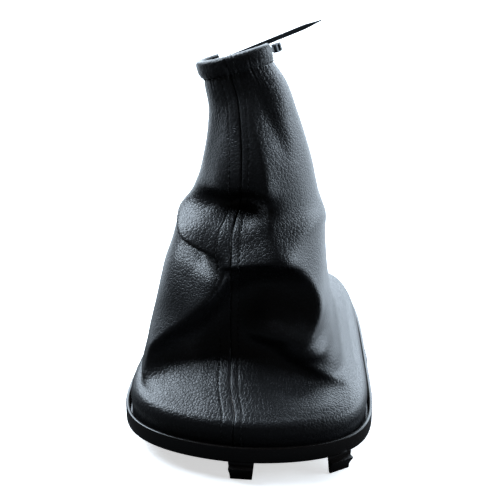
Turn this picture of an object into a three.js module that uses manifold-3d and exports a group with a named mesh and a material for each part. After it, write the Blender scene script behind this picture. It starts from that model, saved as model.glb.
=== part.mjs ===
// Gear lever gaiter: a black leatherette gaiter held on a snap-in plastic frame, with a cable tie
// threaded through its neck hem. Millimetres, +Z up, +X to the right, the front of the car part
// facing -Y. The part stands on the tips of its snap clips at z = 0.

import * as THREE from "three";
import { mergeVertices } from "three/addons/utils/BufferGeometryUtils.js";
import Module from "manifold-3d";

// Frame: one moulding with a raised rim, a floor flange and snap clips below.
const FRAME_LENGTH = 168;
const FRAME_WIDTH = 124;
const FRAME_TAPER = 0.158; // extra half width at the front end, as a share of the half width
const FRONT_BOW = { across: 1.8, along: 5.0 }; // superellipse exponents of the bowed front end
const BACK_BOW = { across: 5.0, along: 4.5 }; // and of the squarer back end
const RIM_HEIGHT = 9.5;
const RIM_THICKNESS = 1.8;
const FLANGE_WIDTH = 15;
const FLANGE_THICKNESS = 2;

// Snap clips under the frame.
const CLIP_REACH = 10.8;
const CLIP_WIDTH = 13.5;
const CLIP_THICKNESS = 1.3;
const CLIP_SET_IN = 0.3;
const BARB_OUT = 2.8;
const BARB_LEDGE = 2.2;
const BARB_HEIGHT = 6;
const CLIP_TURNS = [0, 0.103, 0.3, 0.5, 0.7]; // shares of the outline, from the front

// Leatherette, its turned-in edge and the rolled edge that stands above the rim.
const LEATHER = 1.2;
const GROOVE = 1.6;
const ALLOWANCE = 9.2;
const WRAP_RADIUS = 2;
const ROLL_RISE = 6;
const ROLL_SPAN = 5.6;
const ROLL_HEIGHT = 7.5;
const FRONT_SEAM_SHIFT = -4.5;
const BACK_SEAM_SHIFT = 0;
const SEAM_GAP = 0.3;
const SEAM_ALLOWANCE = 7;

// Carrier ring that the leatherette is wrapped round, and the stakes that hold it to the flange.
const CLEARANCE = 0.3;
const RING_WIDTH = 7;
const RING_THICKNESS = 3;
const STAKE_DIAMETER = 3;
const STAKE_HEAD_DIAMETER = 5;
const STAKE_HEAD_HEIGHT = 1.2;
const STAKE_SLACK = 0.4;
const STAKE_TURNS = [0.05, 0.18, 0.31, 0.44, 0.56, 0.69, 0.82, 0.95];

// Neck collar: a hemmed band on a tilted plane, with a tunnel for the tie.
const NECK_RISE = 180; // stitch line's middle above the frame's underside
const NECK_SHIFT_X = -9.6;
const NECK_SHIFT_Y = 0;
const NECK_WIDTH = 36.9;
const NECK_DEPTH = 20;
const NECK_BOW = 2.3;
const NECK_ROLL = 18; // degrees, right side up
const NECK_PITCH = 12; // degrees, front side up
const NECK_SEAM_SHIFT = -2.5;
const BAND_HEIGHT = 10;
const BAND_PUFF = 1.7;
const HEM_TUNNEL = 2.2;
const HEM_TAIL = 3;
const NOTCH_LEFT = -9.5;
const NOTCH_FRONT = -2.5;
const NOTCH_FLOOR = 1;

// Cable tie.
const TIE_WIDTH = 2.5;
const TIE_THICKNESS = 1;
const TIE_HEIGHT = 5.8; // strap's middle above the stitch line
const TIE_HEAD = { along: 4.4, across: 3.4, high: 4.6 };
const TIE_SLOT = { along: 1.4, high: 2.9 };
const TIE_STUB = 5;
const TIE_STUB_TURN = 57; // degrees from the collar's long axis
const TIE_TAIL = 57;
const TIE_TAIL_LIFT = 7; // degrees that the free tail climbs from the collar plane
const TIE_POINT = 20;

// Grid of the leatherette panels.
const COLUMNS = 26;
const CONE_ROWS = 25;

// How far each side has drawn in from the rolled edge (0) to the neck (1), over the rise between.
const FRONT_DRAW = [
  [0, 0], [0.028, 0.14], [0.066, 0.26], [0.117, 0.385], [0.18, 0.477], [0.3, 0.55],
  [0.42, 0.62], [0.52, 0.73], [0.61, 0.765], [0.78, 0.846], [0.874, 0.91], [1, 1],
];
const RIGHT_DRAW = [
  [0, 0], [0.05, 0.17], [0.15, 0.28], [0.28, 0.355], [0.46, 0.42], [0.55, 0.51],
  [0.672, 0.6], [0.76, 0.675], [0.855, 0.778], [0.93, 0.867], [1, 1],
];
const BACK_DRAW = [
  [0, 0], [0.05, 0.2], [0.18, 0.42], [0.43, 0.62], [0.685, 0.8], [0.875, 0.93], [1, 1],
];
const LEFT_DRAW = [
  [0, 0], [0.104, 0.08], [0.17, 0.115], [0.287, 0.23], [0.426, 0.385], [0.495, 0.44],
  [0.56, 0.66], [0.63, 0.85], [0.7, 0.97], [0.8, 1.05], [0.9, 1.08], [1, 1],
];

// Folds of the leatherette. Each runs along a path of [turn, rise, height] points: turn is in
// degrees round from the front seam towards the right, rise is 0 at the rolled edge and 1 at the
// neck, and height is how far the fold stands out of the sheet (negative is a hollow). reach is
// how far it spreads to its left and its right, looking along the path, and a crisp fold has a
// crest like a crease.
const FOLD_STRIDE = 2.5;
const FOLD_BLEND = 5;
const FOLD_FADE = [18, 38]; // how far behind its line a fold starts to fade, and is gone
const FOLDS = [
  {
    name: "crest between the front and right faces",
    path: [
      [4, 0.93, 0], [12, 0.87, 4], [20, 0.81, 6], [24, 0.74, 8], [25, 0.64, 9], [24, 0.54, 9],
      [24, 0.48, 8], [28, 0.44, 8], [37, 0.395, 9], [46, 0.34, 10], [50, 0.29, 11],
      [45, 0.228, 11], [38, 0.18, 10], [30, 0.142, 10], [33, 0.115, 9], [42, 0.083, 8],
      [50, 0.05, 6], [57, 0.025, 4], [62, 0.005, 0],
    ],
    reach: [18, 10],
    crisp: true,
  },
  {
    name: "crest of the shelf over the front hollow",
    path: [
      [38, 0.395, 0], [29, 0.42, 7], [21, 0.43, 11], [8, 0.43, 13], [1, 0.425, 12], [-5, 0.42, 7],
      [-11, 0.41, 0],
    ],
    reach: [8, 19],
    crisp: true,
  },
  {
    name: "crest of the left lobe",
    path: [
      [-6, 0.42, 0], [-4, 0.39, 6], [-5, 0.353, 12], [-11, 0.31, 15], [-20, 0.24, 15],
      [-29, 0.185, 14], [-38, 0.135, 12], [-43, 0.095, 9], [-46, 0.06, 7], [-48, 0.03, 5],
      [-49, 0, 2],
    ],
    reach: [6, 17],
    crisp: true,
  },
  {
    name: "tuck under the upper front",
    path: [
      [-64, 0.61, 0], [-50, 0.6, -5], [-36, 0.59, -9], [-12, 0.57, -13], [6, 0.565, -14],
      [17, 0.585, -11], [25, 0.61, 0],
    ],
    reach: [9, 6],
    crisp: false,
  },
  {
    name: "bulge above the tuck",
    path: [
      [-85, 0.68, 0], [-50, 0.67, 4], [-20, 0.665, 7], [3, 0.665, 7], [17, 0.67, 4],
      [24, 0.67, 0],
    ],
    reach: [22, 9],
    crisp: false,
  },
  {
    name: "diagonal crest left of the shelf",
    path: [
      [-96, 0.62, 0], [-82, 0.59, 3], [-62, 0.57, 6], [-44, 0.545, 9], [-32, 0.515, 12],
      [-20, 0.485, 12], [-11, 0.455, 8], [-5, 0.43, 0],
    ],
    reach: [13, 6],
    crisp: true,
  },
  {
    name: "valley between the diagonal crest and the left lobe",
    path: [
      [-80, 0.53, 0], [-60, 0.505, -4], [-42, 0.465, -8], [-28, 0.43, -9], [-18, 0.405, -7],
      [-12, 0.39, 0],
    ],
    reach: [5, 10],
    crisp: false,
  },
  {
    name: "flat of the neck's front face",
    path: [
      [-40, 0.98, 0], [-42, 0.9, -2], [-42, 0.8, -3.5], [-42, 0.7, -3], [-42, 0.63, 0],
    ],
    reach: [10, 10],
    crisp: false,
  },
  {
    name: "streak beside the neck",
    path: [
      [30, 0.985, 0], [33, 0.92, -1], [38, 0.85, -1.5], [43, 0.78, -1.3], [46, 0.7, 0],
    ],
    reach: [4, 4],
    crisp: false,
  },
  {
    name: "great hollow of the front",
    path: [
      [-34, 0.11, 0], [-25, 0.15, -5], [-15, 0.2, -8], [-4, 0.255, -9], [10, 0.295, -11],
      [26, 0.3, -11], [37, 0.29, -8], [46, 0.27, 0],
    ],
    reach: [17, 17],
    crisp: false,
  },
  {
    name: "bulge inside the great hollow",
    path: [
      [6, 0.19, 0], [16, 0.185, 7], [26, 0.185, 10], [35, 0.195, 7], [41, 0.205, 0],
    ],
    reach: [13, 7],
    crisp: false,
  },
  {
    name: "lower hollow over the apron",
    path: [
      [-46, 0.015, 0], [-39, 0.04, -5], [-25, 0.083, -7], [-9, 0.11, -8], [6, 0.115, -8],
      [16, 0.1, -8], [26, 0.07, -8], [36, 0.043, -8], [44, 0.024, -7], [52, 0.01, -4], [58, 0, 0],
    ],
    reach: [15, 10],
    crisp: false,
  },
];

const wasm = await Module();
wasm.setup();

const flangeTop = CLIP_REACH + FLANGE_THICKNESS;
const sheetBottom = flangeTop + CLEARANCE;
const ringBottom = sheetBottom + LEATHER + CLEARANCE;
const sheetInset = RIM_THICKNESS + GROOVE;
const ringInset = sheetInset + LEATHER + CLEARANCE;
const wallTop = CLIP_REACH + RIM_HEIGHT + ROLL_RISE;

const frameMaterial = new THREE.MeshStandardMaterial({
  color: 0x2b2a2c,
  roughness: 0.42,
  metalness: 0,
});
const ringMaterial = new THREE.MeshStandardMaterial({
  color: 0x1b1b1c,
  roughness: 0.6,
  metalness: 0,
});
const leatherMaterial = new THREE.MeshStandardMaterial({
  color: 0x1d1e21,
  roughness: 0.45,
  metalness: 0,
});
const tieMaterial = new THREE.MeshStandardMaterial({
  color: 0x303238,
  roughness: 0.35,
  metalness: 0,
});

function toManifold(geometry) {
  const bare = geometry.index ? geometry.toNonIndexed() : geometry.clone();
  bare.deleteAttribute("normal");
  bare.deleteAttribute("uv");
  const merged = mergeVertices(bare, 1e-4);
  return new wasm.Manifold(new wasm.Mesh({
    numProp: 3,
    vertProperties: Float32Array.from(merged.attributes.position.array),
    triVerts: Uint32Array.from(merged.index.array),
  }));
}

function toGeometry(manifold) {
  const mesh = manifold.getMesh();
  const geometry = new THREE.BufferGeometry();
  geometry.setAttribute("position", new THREE.BufferAttribute(mesh.vertProperties, 3));
  geometry.setIndex(new THREE.BufferAttribute(mesh.triVerts, 1));
  geometry.computeVertexNormals();
  return geometry;
}

function smoothStep(from, to, value) {
  const t = Math.min(1, Math.max(0, (value - from) / (to - from)));
  return t * t * (3 - 2 * t);
}

// Smooth curve through [x, y] pairs, flat-sloped where the data turns.
function follow(points, x) {
  const last = points.length - 1;
  if (x <= points[0][0]) return points[0][1];
  if (x >= points[last][0]) return points[last][1];
  let i = 0;
  while (x > points[i + 1][0]) i += 1;
  const slope = (k) => {
    if (k <= 0 || k >= last) {
      const a = points[Math.max(0, k - 1)];
      const b = points[Math.min(last, k + 1)];
      return (b[1] - a[1]) / (b[0] - a[0]);
    }
    const before = (points[k][1] - points[k - 1][1]) / (points[k][0] - points[k - 1][0]);
    const after = (points[k + 1][1] - points[k][1]) / (points[k + 1][0] - points[k][0]);
    return before * after <= 0 ? 0 : (2 * before * after) / (before + after);
  };
  const [x0, y0] = points[i];
  const [x1, y1] = points[i + 1];
  const step = x1 - x0;
  const t = (x - x0) / step;
  const a = slope(i) * step;
  const b = slope(i + 1) * step;
  const rise = y1 - y0;
  return y0 + t * (a + t * (3 * rise - 2 * a - b + t * (a + b - 2 * rise)));
}

// A closed outline walked by its length: share 0 is the front, 0.25 the right, 0.5 the back.
class Loop {
  constructor(pointAt, steps = 1440) {
    this.points = [];
    this.lengths = [0];
    for (let i = 0; i <= steps; i += 1) {
      this.points.push(pointAt((i / steps) * 2 * Math.PI));
      if (i > 0) {
        const stride = this.points[i].distanceTo(this.points[i - 1]);
        this.lengths.push(this.lengths[i - 1] + stride);
      }
    }
    this.length = this.lengths[steps];
    this.steps = steps;
  }

  at(share) {
    const wrapped = share - Math.floor(share);
    const target = wrapped * this.length;
    let low = 0;
    let high = this.steps;
    while (high - low > 1) {
      const middle = (low + high) >> 1;
      if (this.lengths[middle] <= target) low = middle;
      else high = middle;
    }
    const span = this.lengths[high] - this.lengths[low];
    const t = (target - this.lengths[low]) / span;
    return this.points[low].clone().lerp(this.points[high], t);
  }

  outward(share) {
    const nudge = 1.5 / this.length;
    const along = this.at(share + nudge).sub(this.at(share - nudge)).normalize();
    return new THREE.Vector2(along.y, -along.x);
  }

  inset(share, distance) {
    return this.at(share).addScaledVector(this.outward(share), -distance);
  }
}

function signedPower(value, exponent) {
  return Math.sign(value) * Math.abs(value) ** exponent;
}

const frameLoop = new Loop((turn) => {
  const across = Math.sin(turn);
  const along = -Math.cos(turn);
  const bow = along < 0 ? FRONT_BOW : BACK_BOW;
  const y = signedPower(along, 2 / bow.along);
  const x = signedPower(across, 2 / bow.across) * (1 - FRAME_TAPER * y);
  return new THREE.Vector2((x * FRAME_WIDTH) / 2, (y * FRAME_LENGTH) / 2);
});

const neckLoop = new Loop((turn) => {
  const x = signedPower(Math.sin(turn), 2 / NECK_BOW);
  const y = signedPower(-Math.cos(turn), 2 / NECK_BOW);
  return new THREE.Vector2((x * NECK_WIDTH) / 2, (y * NECK_DEPTH) / 2);
});

// Collar plane: its middle on the stitch line, its axis leaning left and back.
const neckTurn = new THREE.Euler(
  -THREE.MathUtils.degToRad(NECK_PITCH),
  -THREE.MathUtils.degToRad(NECK_ROLL),
  0,
  "YXZ",
);
const neckMatrix = new THREE.Matrix4().compose(
  new THREE.Vector3(NECK_SHIFT_X, NECK_SHIFT_Y, CLIP_REACH + NECK_RISE),
  new THREE.Quaternion().setFromEuler(neckTurn),
  new THREE.Vector3(1, 1, 1),
);

// Columns are counted 0 to 1 round the right panel and 1 to 2 round the left one.
const frameSeams = [FRONT_SEAM_SHIFT / frameLoop.length, 0.5 - BACK_SEAM_SHIFT / frameLoop.length];
const neckSeams = [NECK_SEAM_SHIFT / neckLoop.length, 0.5];

function shareAt(seams, column) {
  const turn = ((column % 2) + 2) % 2;
  if (turn <= 1) return THREE.MathUtils.lerp(seams[0], seams[1], turn);
  return THREE.MathUtils.lerp(seams[1], seams[0] + 1, turn - 1);
}

function framePoint(column, inset, z) {
  const p = frameLoop.inset(shareAt(frameSeams, column), inset);
  return new THREE.Vector3(p.x, p.y, z);
}

function neckPoint(column, out, up) {
  const p = neckLoop.inset(shareAt(neckSeams, column), -out);
  return new THREE.Vector3(p.x, p.y, up).applyMatrix4(neckMatrix);
}

function extent(points) {
  const xs = points.map((p) => p.x);
  const ys = points.map((p) => p.y);
  return {
    left: Math.min(...xs),
    right: Math.max(...xs),
    front: Math.min(...ys),
    back: Math.max(...ys),
  };
}

const shoulderInset = sheetInset + ROLL_SPAN;
const shoulderZ = wallTop + ROLL_HEIGHT;
const ROUND = 96;
const shoulderSize = extent(
  Array.from({ length: ROUND }, (_, i) => framePoint((2 * i) / ROUND, shoulderInset, shoulderZ)),
);
const neckSize = extent(
  Array.from({ length: ROUND }, (_, i) => neckPoint((2 * i) / ROUND, 0, 0)),
);
const neckCentre = new THREE.Vector3().setFromMatrixPosition(neckMatrix);
const neckAxis = new THREE.Vector3(0, 0, 1).transformDirection(neckMatrix);

// The cone without its folds.
function conePoint(column, rise) {
  const low = framePoint(column, shoulderInset, shoulderZ);
  const high = neckPoint(column, 0, 0);
  const draw = {
    left: follow(LEFT_DRAW, rise),
    right: follow(RIGHT_DRAW, rise),
    front: follow(FRONT_DRAW, rise),
    back: follow(BACK_DRAW, rise),
  };
  const side = {};
  Object.keys(draw).forEach((key) => {
    side[key] = THREE.MathUtils.lerp(shoulderSize[key], neckSize[key], draw[key]);
  });
  const shape = (draw.left + draw.right + draw.front + draw.back) / 4;
  const unit = (p, size, axis, minus, plus) =>
    (2 * p[axis] - size[minus] - size[plus]) / (size[plus] - size[minus]);
  const ux = THREE.MathUtils.lerp(
    unit(low, shoulderSize, "x", "left", "right"),
    unit(high, neckSize, "x", "left", "right"),
    shape,
  );
  const uy = THREE.MathUtils.lerp(
    unit(low, shoulderSize, "y", "front", "back"),
    unit(high, neckSize, "y", "front", "back"),
    shape,
  );
  const x = (side.left + side.right) / 2 + (ux * (side.right - side.left)) / 2;
  const y = (side.front + side.back) / 2 + (uy * (side.back - side.front)) / 2;
  const tip = smoothStep(0, 1, rise);
  const tiltX = (-neckAxis.x / neckAxis.z) * (x - (side.left + side.right) / 2);
  const tiltY = (-neckAxis.y / neckAxis.z) * (y - (side.front + side.back) / 2);
  const z = THREE.MathUtils.lerp(shoulderZ, neckCentre.z, rise) + tip * (tiltX + tiltY);
  return new THREE.Vector3(x, y, z);
}

function coneCentre(rise) {
  const left = THREE.MathUtils.lerp(shoulderSize.left, neckSize.left, follow(LEFT_DRAW, rise));
  const right = THREE.MathUtils.lerp(shoulderSize.right, neckSize.right, follow(RIGHT_DRAW, rise));
  const front = THREE.MathUtils.lerp(shoulderSize.front, neckSize.front, follow(FRONT_DRAW, rise));
  const back = THREE.MathUtils.lerp(shoulderSize.back, neckSize.back, follow(BACK_DRAW, rise));
  return new THREE.Vector2((left + right) / 2, (front + back) / 2);
}

function smoothed(values) {
  return values.map((value, i) => {
    if (i === 0 || i === values.length - 1) return value;
    return 0.25 * values[i - 1] + 0.5 * value + 0.25 * values[i + 1];
  });
}

// A fold's path laid on the plain cone as closely spaced nodes with the sheet's directions there.
function foldLine(fold) {
  const corners = fold.path.map(([turn, rise]) => conePoint(turn / 180, rise));
  const walked = [0];
  for (let i = 1; i < corners.length; i += 1) {
    walked.push(walked[i - 1] + corners[i].distanceTo(corners[i - 1]));
  }
  const total = walked[walked.length - 1];
  const count = Math.max(2, Math.floor(total / FOLD_STRIDE));
  const read = (at, k) => {
    let i = 0;
    while (i < walked.length - 2 && at > walked[i + 1]) i += 1;
    const t = (at - walked[i]) / (walked[i + 1] - walked[i]);
    return THREE.MathUtils.lerp(fold.path[i][k], fold.path[i + 1][k], t);
  };
  const places = Array.from({ length: count }, (_, i) => ((i + 0.5) * total) / count);
  let turns = places.map((at) => read(at, 0));
  let rises = places.map((at) => read(at, 1));
  for (let pass = 0; pass < 3; pass += 1) {
    turns = smoothed(turns);
    rises = smoothed(rises);
  }
  const points = turns.map((turn, i) => conePoint(turn / 180, rises[i]));
  return places.map((at, i) => {
    const first = Math.max(0, i - 1);
    const last = Math.min(count - 1, i + 1);
    const along = points[last].clone().sub(points[first]).divideScalar(last - first);
    const length = along.length();
    along.normalize();
    const e = 1e-3;
    const column = turns[i] / 180;
    const around = conePoint(column + e, rises[i]).sub(conePoint(column - e, rises[i]));
    const climb = conePoint(column, Math.min(1, rises[i] + e))
      .sub(conePoint(column, Math.max(0, rises[i] - e)));
    const normal = around.cross(climb).normalize();
    const side = normal.clone().cross(along);
    return { point: points[i], along, side, normal, height: read(at, 2), length };
  });
}

const foldLines = FOLDS.map((fold) => ({ ...fold, line: foldLine(fold) }));

function foldHeight(fold, point, out) {
  let total = 0;
  fold.line.forEach((node) => {
    if (Math.abs(node.height) < 1e-3) return;
    const offset = point.clone().sub(node.point);
    const along = offset.dot(node.along);
    const side = offset.dot(node.side);
    const depth = Math.min(0, offset.dot(node.normal));
    if (Math.abs(along) > 3 * FOLD_BLEND || depth < -FOLD_FADE[1]) return;
    const spread = side / (side > 0 ? fold.reach[0] : fold.reach[1]);
    const crest = fold.crisp
      ? Math.exp(-1.5 * (Math.sqrt(spread * spread + 0.01) - 0.1))
      : Math.exp(-spread * spread);
    const facing = out.x * node.normal.x + out.y * node.normal.y;
    const behind =
      smoothStep(-FOLD_FADE[1], -FOLD_FADE[0], depth) * smoothStep(-0.3, 0.3, facing);
    const weight = behind * Math.exp(-((along / FOLD_BLEND) ** 2) - (depth / 35) ** 2);
    const share = node.length / (FOLD_BLEND * Math.sqrt(Math.PI));
    total += node.height * share * weight * crest;
  });
  return total;
}

function foldedPoint(column, rise) {
  const point = conePoint(column, rise);
  const centre = coneCentre(rise);
  const out = new THREE.Vector2(point.x, point.y).sub(centre).normalize();
  const height = foldLines.reduce((sum, fold) => sum + foldHeight(fold, point, out), 0);
  const calm = smoothStep(0, 0.03, rise) * smoothStep(1, 0.93, rise);
  out.x *= smoothStep(0, 0.7, Math.abs(out.x));
  point.x += out.x * height * calm;
  point.y += out.y * height * calm;
  return point;
}

// Rows of the sheet from its turned-in edge, round the rolled edge, up the cone and over the hem.
function arc(count, centreA, centreB, radius, from, to) {
  return Array.from({ length: count }, (_, i) => {
    const angle = THREE.MathUtils.degToRad(THREE.MathUtils.lerp(from, to, i / (count - 1)));
    return [centreA + radius * Math.cos(angle), centreB + radius * Math.sin(angle)];
  });
}

const wrapRows = [
  [sheetInset + ALLOWANCE, sheetBottom],
  ...arc(4, sheetInset + WRAP_RADIUS, sheetBottom + WRAP_RADIUS, WRAP_RADIUS, -90, -180),
  [sheetInset, wallTop - 4],
  [sheetInset - 0.3, wallTop],
  [sheetInset + 0.6, wallTop + 0.5 * ROLL_HEIGHT],
  [sheetInset + 2.4, wallTop + 0.8 * ROLL_HEIGHT],
];
const turnRadius = (HEM_TUNNEL + 2 * LEATHER) / 2;
const hemRows = [
  [0.5 * BAND_PUFF, 1.6],
  [BAND_PUFF, 4.5],
  ...arc(5, BAND_PUFF - turnRadius, BAND_HEIGHT - turnRadius, turnRadius, 0, 180),
  [BAND_PUFF - 2 * turnRadius, 4.5],
  [-2 * LEATHER - CLEARANCE, 1],
  [-2 * LEATHER - 3 * CLEARANCE, -HEM_TAIL],
];

function sheetRows() {
  const rows = wrapRows.map(([inset, z]) => (column) => framePoint(column, inset, z));
  for (let i = 0; i <= CONE_ROWS; i += 1) {
    rows.push((column) => foldedPoint(column, i / CONE_ROWS));
  }
  hemRows.forEach(([out, up]) => rows.push((column) => neckPoint(column, out, up)));
  return rows;
}

const rows = sheetRows();

// One panel of the sheet as a closed body, thicker along its seams where the allowance is folded
// back and stitched down.
function panelGeometry(start) {
  const outer = [];
  const inner = [];
  const step = 1 / COLUMNS;
  rows.forEach((row, r) => {
    const before = rows[Math.max(0, r - 1)];
    const after = rows[Math.min(rows.length - 1, r + 1)];
    const base = row(start);
    const far = row(start + 1);
    for (let c = 0; c <= COLUMNS; c += 1) {
      const column = start + c * step;
      const point = row(column);
      const along = row(column + 0.5 * step).sub(row(column - 0.5 * step)).normalize();
      const up = after(column).sub(before(column));
      const normal = along.clone().cross(up).normalize();
      if (c === 0) point.addScaledVector(along, SEAM_GAP / 2);
      if (c === COLUMNS) point.addScaledVector(along, -SEAM_GAP / 2);
      const reach = Math.min(point.distanceTo(base), point.distanceTo(far));
      const inCone = r >= wrapRows.length && r < wrapRows.length + CONE_ROWS;
      const nearNeck = smoothStep(0.92, 0.97, (r - wrapRows.length) / CONE_ROWS);
      const double = inCone
        ? (1 - smoothStep(SEAM_ALLOWANCE, SEAM_ALLOWANCE + 2, reach)) * (1 - nearNeck)
        : 0;
      outer.push(point);
      inner.push(point.clone().addScaledVector(normal, -LEATHER * (1 + double)));
    }
  });
  return thickSheet(outer, inner, rows.length, COLUMNS + 1);
}

function thickSheet(outer, inner, rowCount, columnCount) {
  const positions = [];
  const quad = (a, b, c, d) => {
    [a, b, c, a, c, d].forEach((p) => positions.push(p.x, p.y, p.z));
  };
  const at = (side, r, c) => side[r * columnCount + c];
  for (let r = 0; r < rowCount - 1; r += 1) {
    for (let c = 0; c < columnCount - 1; c += 1) {
      quad(at(outer, r, c), at(outer, r, c + 1), at(outer, r + 1, c + 1), at(outer, r + 1, c));
      quad(at(inner, r, c), at(inner, r + 1, c), at(inner, r + 1, c + 1), at(inner, r, c + 1));
    }
    const e = columnCount - 1;
    quad(at(outer, r, 0), at(outer, r + 1, 0), at(inner, r + 1, 0), at(inner, r, 0));
    quad(at(outer, r, e), at(inner, r, e), at(inner, r + 1, e), at(outer, r + 1, e));
  }
  for (let c = 0; c < columnCount - 1; c += 1) {
    const e = rowCount - 1;
    quad(at(outer, 0, c), at(inner, 0, c), at(inner, 0, c + 1), at(outer, 0, c + 1));
    quad(at(outer, e, c), at(outer, e, c + 1), at(inner, e, c + 1), at(inner, e, c));
  }
  const geometry = new THREE.BufferGeometry();
  geometry.setAttribute("position", new THREE.Float32BufferAttribute(positions, 3));
  return geometry;
}

// Flat ring between two insets of the frame's outline, with its corners on the panel columns.
function ringGeometry(outerInset, innerInset, bottom, height, perColumn) {
  const count = 2 * COLUMNS * perColumn;
  const trace = (inset) => Array.from({ length: count }, (_, i) => {
    const p = frameLoop.inset(shareAt(frameSeams, (2 * i) / count), inset);
    return new THREE.Vector2(p.x, p.y);
  });
  const shape = new THREE.Shape(trace(outerInset));
  shape.holes.push(new THREE.Path(trace(innerInset)));
  const geometry = new THREE.ExtrudeGeometry(shape, { depth: height, bevelEnabled: false });
  geometry.translate(0, 0, bottom);
  return geometry;
}

// Stands a geometry, drawn with +X outward, on the frame's outline at a share of its length.
function placeOnOutline(geometry, share, inset) {
  const p = frameLoop.inset(share, inset);
  const out = frameLoop.outward(share);
  geometry.rotateZ(Math.atan2(out.y, out.x));
  geometry.translate(p.x, p.y, 0);
  return geometry;
}

function clipGeometry(share) {
  const top = CLIP_REACH + FLANGE_THICKNESS / 2;
  const ledge = CLIP_REACH - BARB_LEDGE;
  const profile = new THREE.Shape([
    new THREE.Vector2(0, top),
    new THREE.Vector2(-CLIP_THICKNESS, top),
    new THREE.Vector2(-CLIP_THICKNESS, 0),
    new THREE.Vector2(0, 0),
    new THREE.Vector2(0, ledge - BARB_HEIGHT),
    new THREE.Vector2(BARB_OUT, ledge - 0.5),
    new THREE.Vector2(BARB_OUT, ledge),
    new THREE.Vector2(0, ledge),
  ]);
  const geometry = new THREE.ExtrudeGeometry(profile, { depth: CLIP_WIDTH, bevelEnabled: false });
  geometry.translate(0, 0, -CLIP_WIDTH / 2);
  geometry.rotateX(Math.PI / 2);
  return placeOnOutline(geometry, share, CLIP_SET_IN);
}

const stakeInset = ringInset + RING_WIDTH / 2;
const ringTop = ringBottom + RING_THICKNESS;

function cylinderGeometry(diameter, bottom, top, share) {
  const geometry = new THREE.CylinderGeometry(diameter / 2, diameter / 2, top - bottom, 12);
  geometry.rotateX(Math.PI / 2);
  geometry.translate(0, 0, (bottom + top) / 2);
  return placeOnOutline(geometry, share, stakeInset);
}

function frameSolid() {
  const rim = ringGeometry(0, RIM_THICKNESS, CLIP_REACH, RIM_HEIGHT, 2);
  const flange = ringGeometry(RIM_THICKNESS / 2, FLANGE_WIDTH, CLIP_REACH, FLANGE_THICKNESS, 2);
  let solid = toManifold(rim).add(toManifold(flange));
  CLIP_TURNS.forEach((share) => {
    solid = solid.add(toManifold(clipGeometry(share)));
  });
  STAKE_TURNS.forEach((share) => {
    const headBottom = ringTop + CLEARANCE;
    const headTop = headBottom + STAKE_HEAD_HEIGHT;
    const root = flangeTop - FLANGE_THICKNESS / 2;
    solid = solid.add(toManifold(cylinderGeometry(STAKE_DIAMETER, root, headTop, share)));
    solid = solid.add(
      toManifold(cylinderGeometry(STAKE_HEAD_DIAMETER, headBottom, headTop, share)),
    );
  });
  return toGeometry(solid);
}

function drillForStakes(solid, bottom, top) {
  let drilled = solid;
  STAKE_TURNS.forEach((share) => {
    const hole = cylinderGeometry(STAKE_DIAMETER + 2 * STAKE_SLACK, bottom - 1, top + 1, share);
    drilled = drilled.subtract(toManifold(hole));
  });
  return drilled;
}

function carrierRing() {
  const ring = ringGeometry(ringInset, ringInset + RING_WIDTH, ringBottom, RING_THICKNESS, 1);
  return toGeometry(drillForStakes(toManifold(ring), ringBottom, ringTop));
}

// Clears the hem behind the tunnel's two mouths, where the tie goes in and out.
function notchSolids() {
  const far = NECK_WIDTH;
  const box = (front, bottom, width, depth, height) => {
    const geometry = new THREE.BoxGeometry(width, depth, height);
    geometry.translate(NOTCH_LEFT + width / 2, front + depth / 2, bottom + height / 2);
    geometry.applyMatrix4(neckMatrix);
    return toManifold(geometry);
  };
  const above = box(NOTCH_FRONT, NOTCH_FLOOR, far, far, 2 * BAND_HEIGHT);
  const below = box(NOTCH_FRONT, -2 * HEM_TAIL, far, far, 2 * HEM_TAIL + NOTCH_FLOOR + 1);
  const split = -LEATHER - CLEARANCE / 2;
  const points = Array.from({ length: 2 * COLUMNS }, (_, i) => {
    const p = neckLoop.inset(shareAt(neckSeams, i / COLUMNS), -split);
    return new THREE.Vector2(p.x, p.y);
  });
  const plug = new THREE.ExtrudeGeometry(new THREE.Shape(points), {
    depth: 2 * HEM_TAIL + BAND_HEIGHT,
    bevelEnabled: false,
  });
  plug.translate(0, 0, -2 * HEM_TAIL);
  plug.applyMatrix4(neckMatrix);
  return above.add(below.intersect(toManifold(plug)));
}

const notch = notchSolids();

function panelSolid(start) {
  const sheet = drillForStakes(toManifold(panelGeometry(start)), sheetBottom, ringBottom);
  return toGeometry(sheet.subtract(notch));
}

// Strap's middle line in the collar plane: the stub on the right, then round the front and the
// left end inside the hem, as far as its mouth at the back.
function tiePath() {
  const middle = BAND_PUFF - LEATHER - HEM_TUNNEL / 2;
  const steps = 40;
  const mouth = (side, passed) => {
    let share = 0;
    while (!passed(neckLoop.inset(share, -middle))) share += side * 0.002;
    return share;
  };
  const first = mouth(1, (p) => p.y > NOTCH_FRONT);
  const last = mouth(-1, (p) => p.y > 0 && p.x > NOTCH_LEFT);
  const points = Array.from({ length: steps + 1 }, (_, i) =>
    neckLoop.inset(THREE.MathUtils.lerp(first, last, i / steps), -middle));
  const lead = THREE.MathUtils.degToRad(TIE_STUB_TURN);
  const reach = new THREE.Vector2(Math.cos(lead), Math.sin(lead)).multiplyScalar(TIE_STUB);
  return [points[0].clone().add(reach), ...points];
}

function strapShape(path) {
  const left = [];
  const right = [];
  path.forEach((point, i) => {
    const before = path[Math.max(0, i - 1)];
    const after = path[Math.min(path.length - 1, i + 1)];
    const along = after.clone().sub(before).normalize();
    const side = new THREE.Vector2(-along.y, along.x).multiplyScalar(TIE_THICKNESS / 2);
    left.push(point.clone().add(side));
    right.push(point.clone().sub(side));
  });
  return new THREE.Shape([...right, ...left.reverse()]);
}

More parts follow.
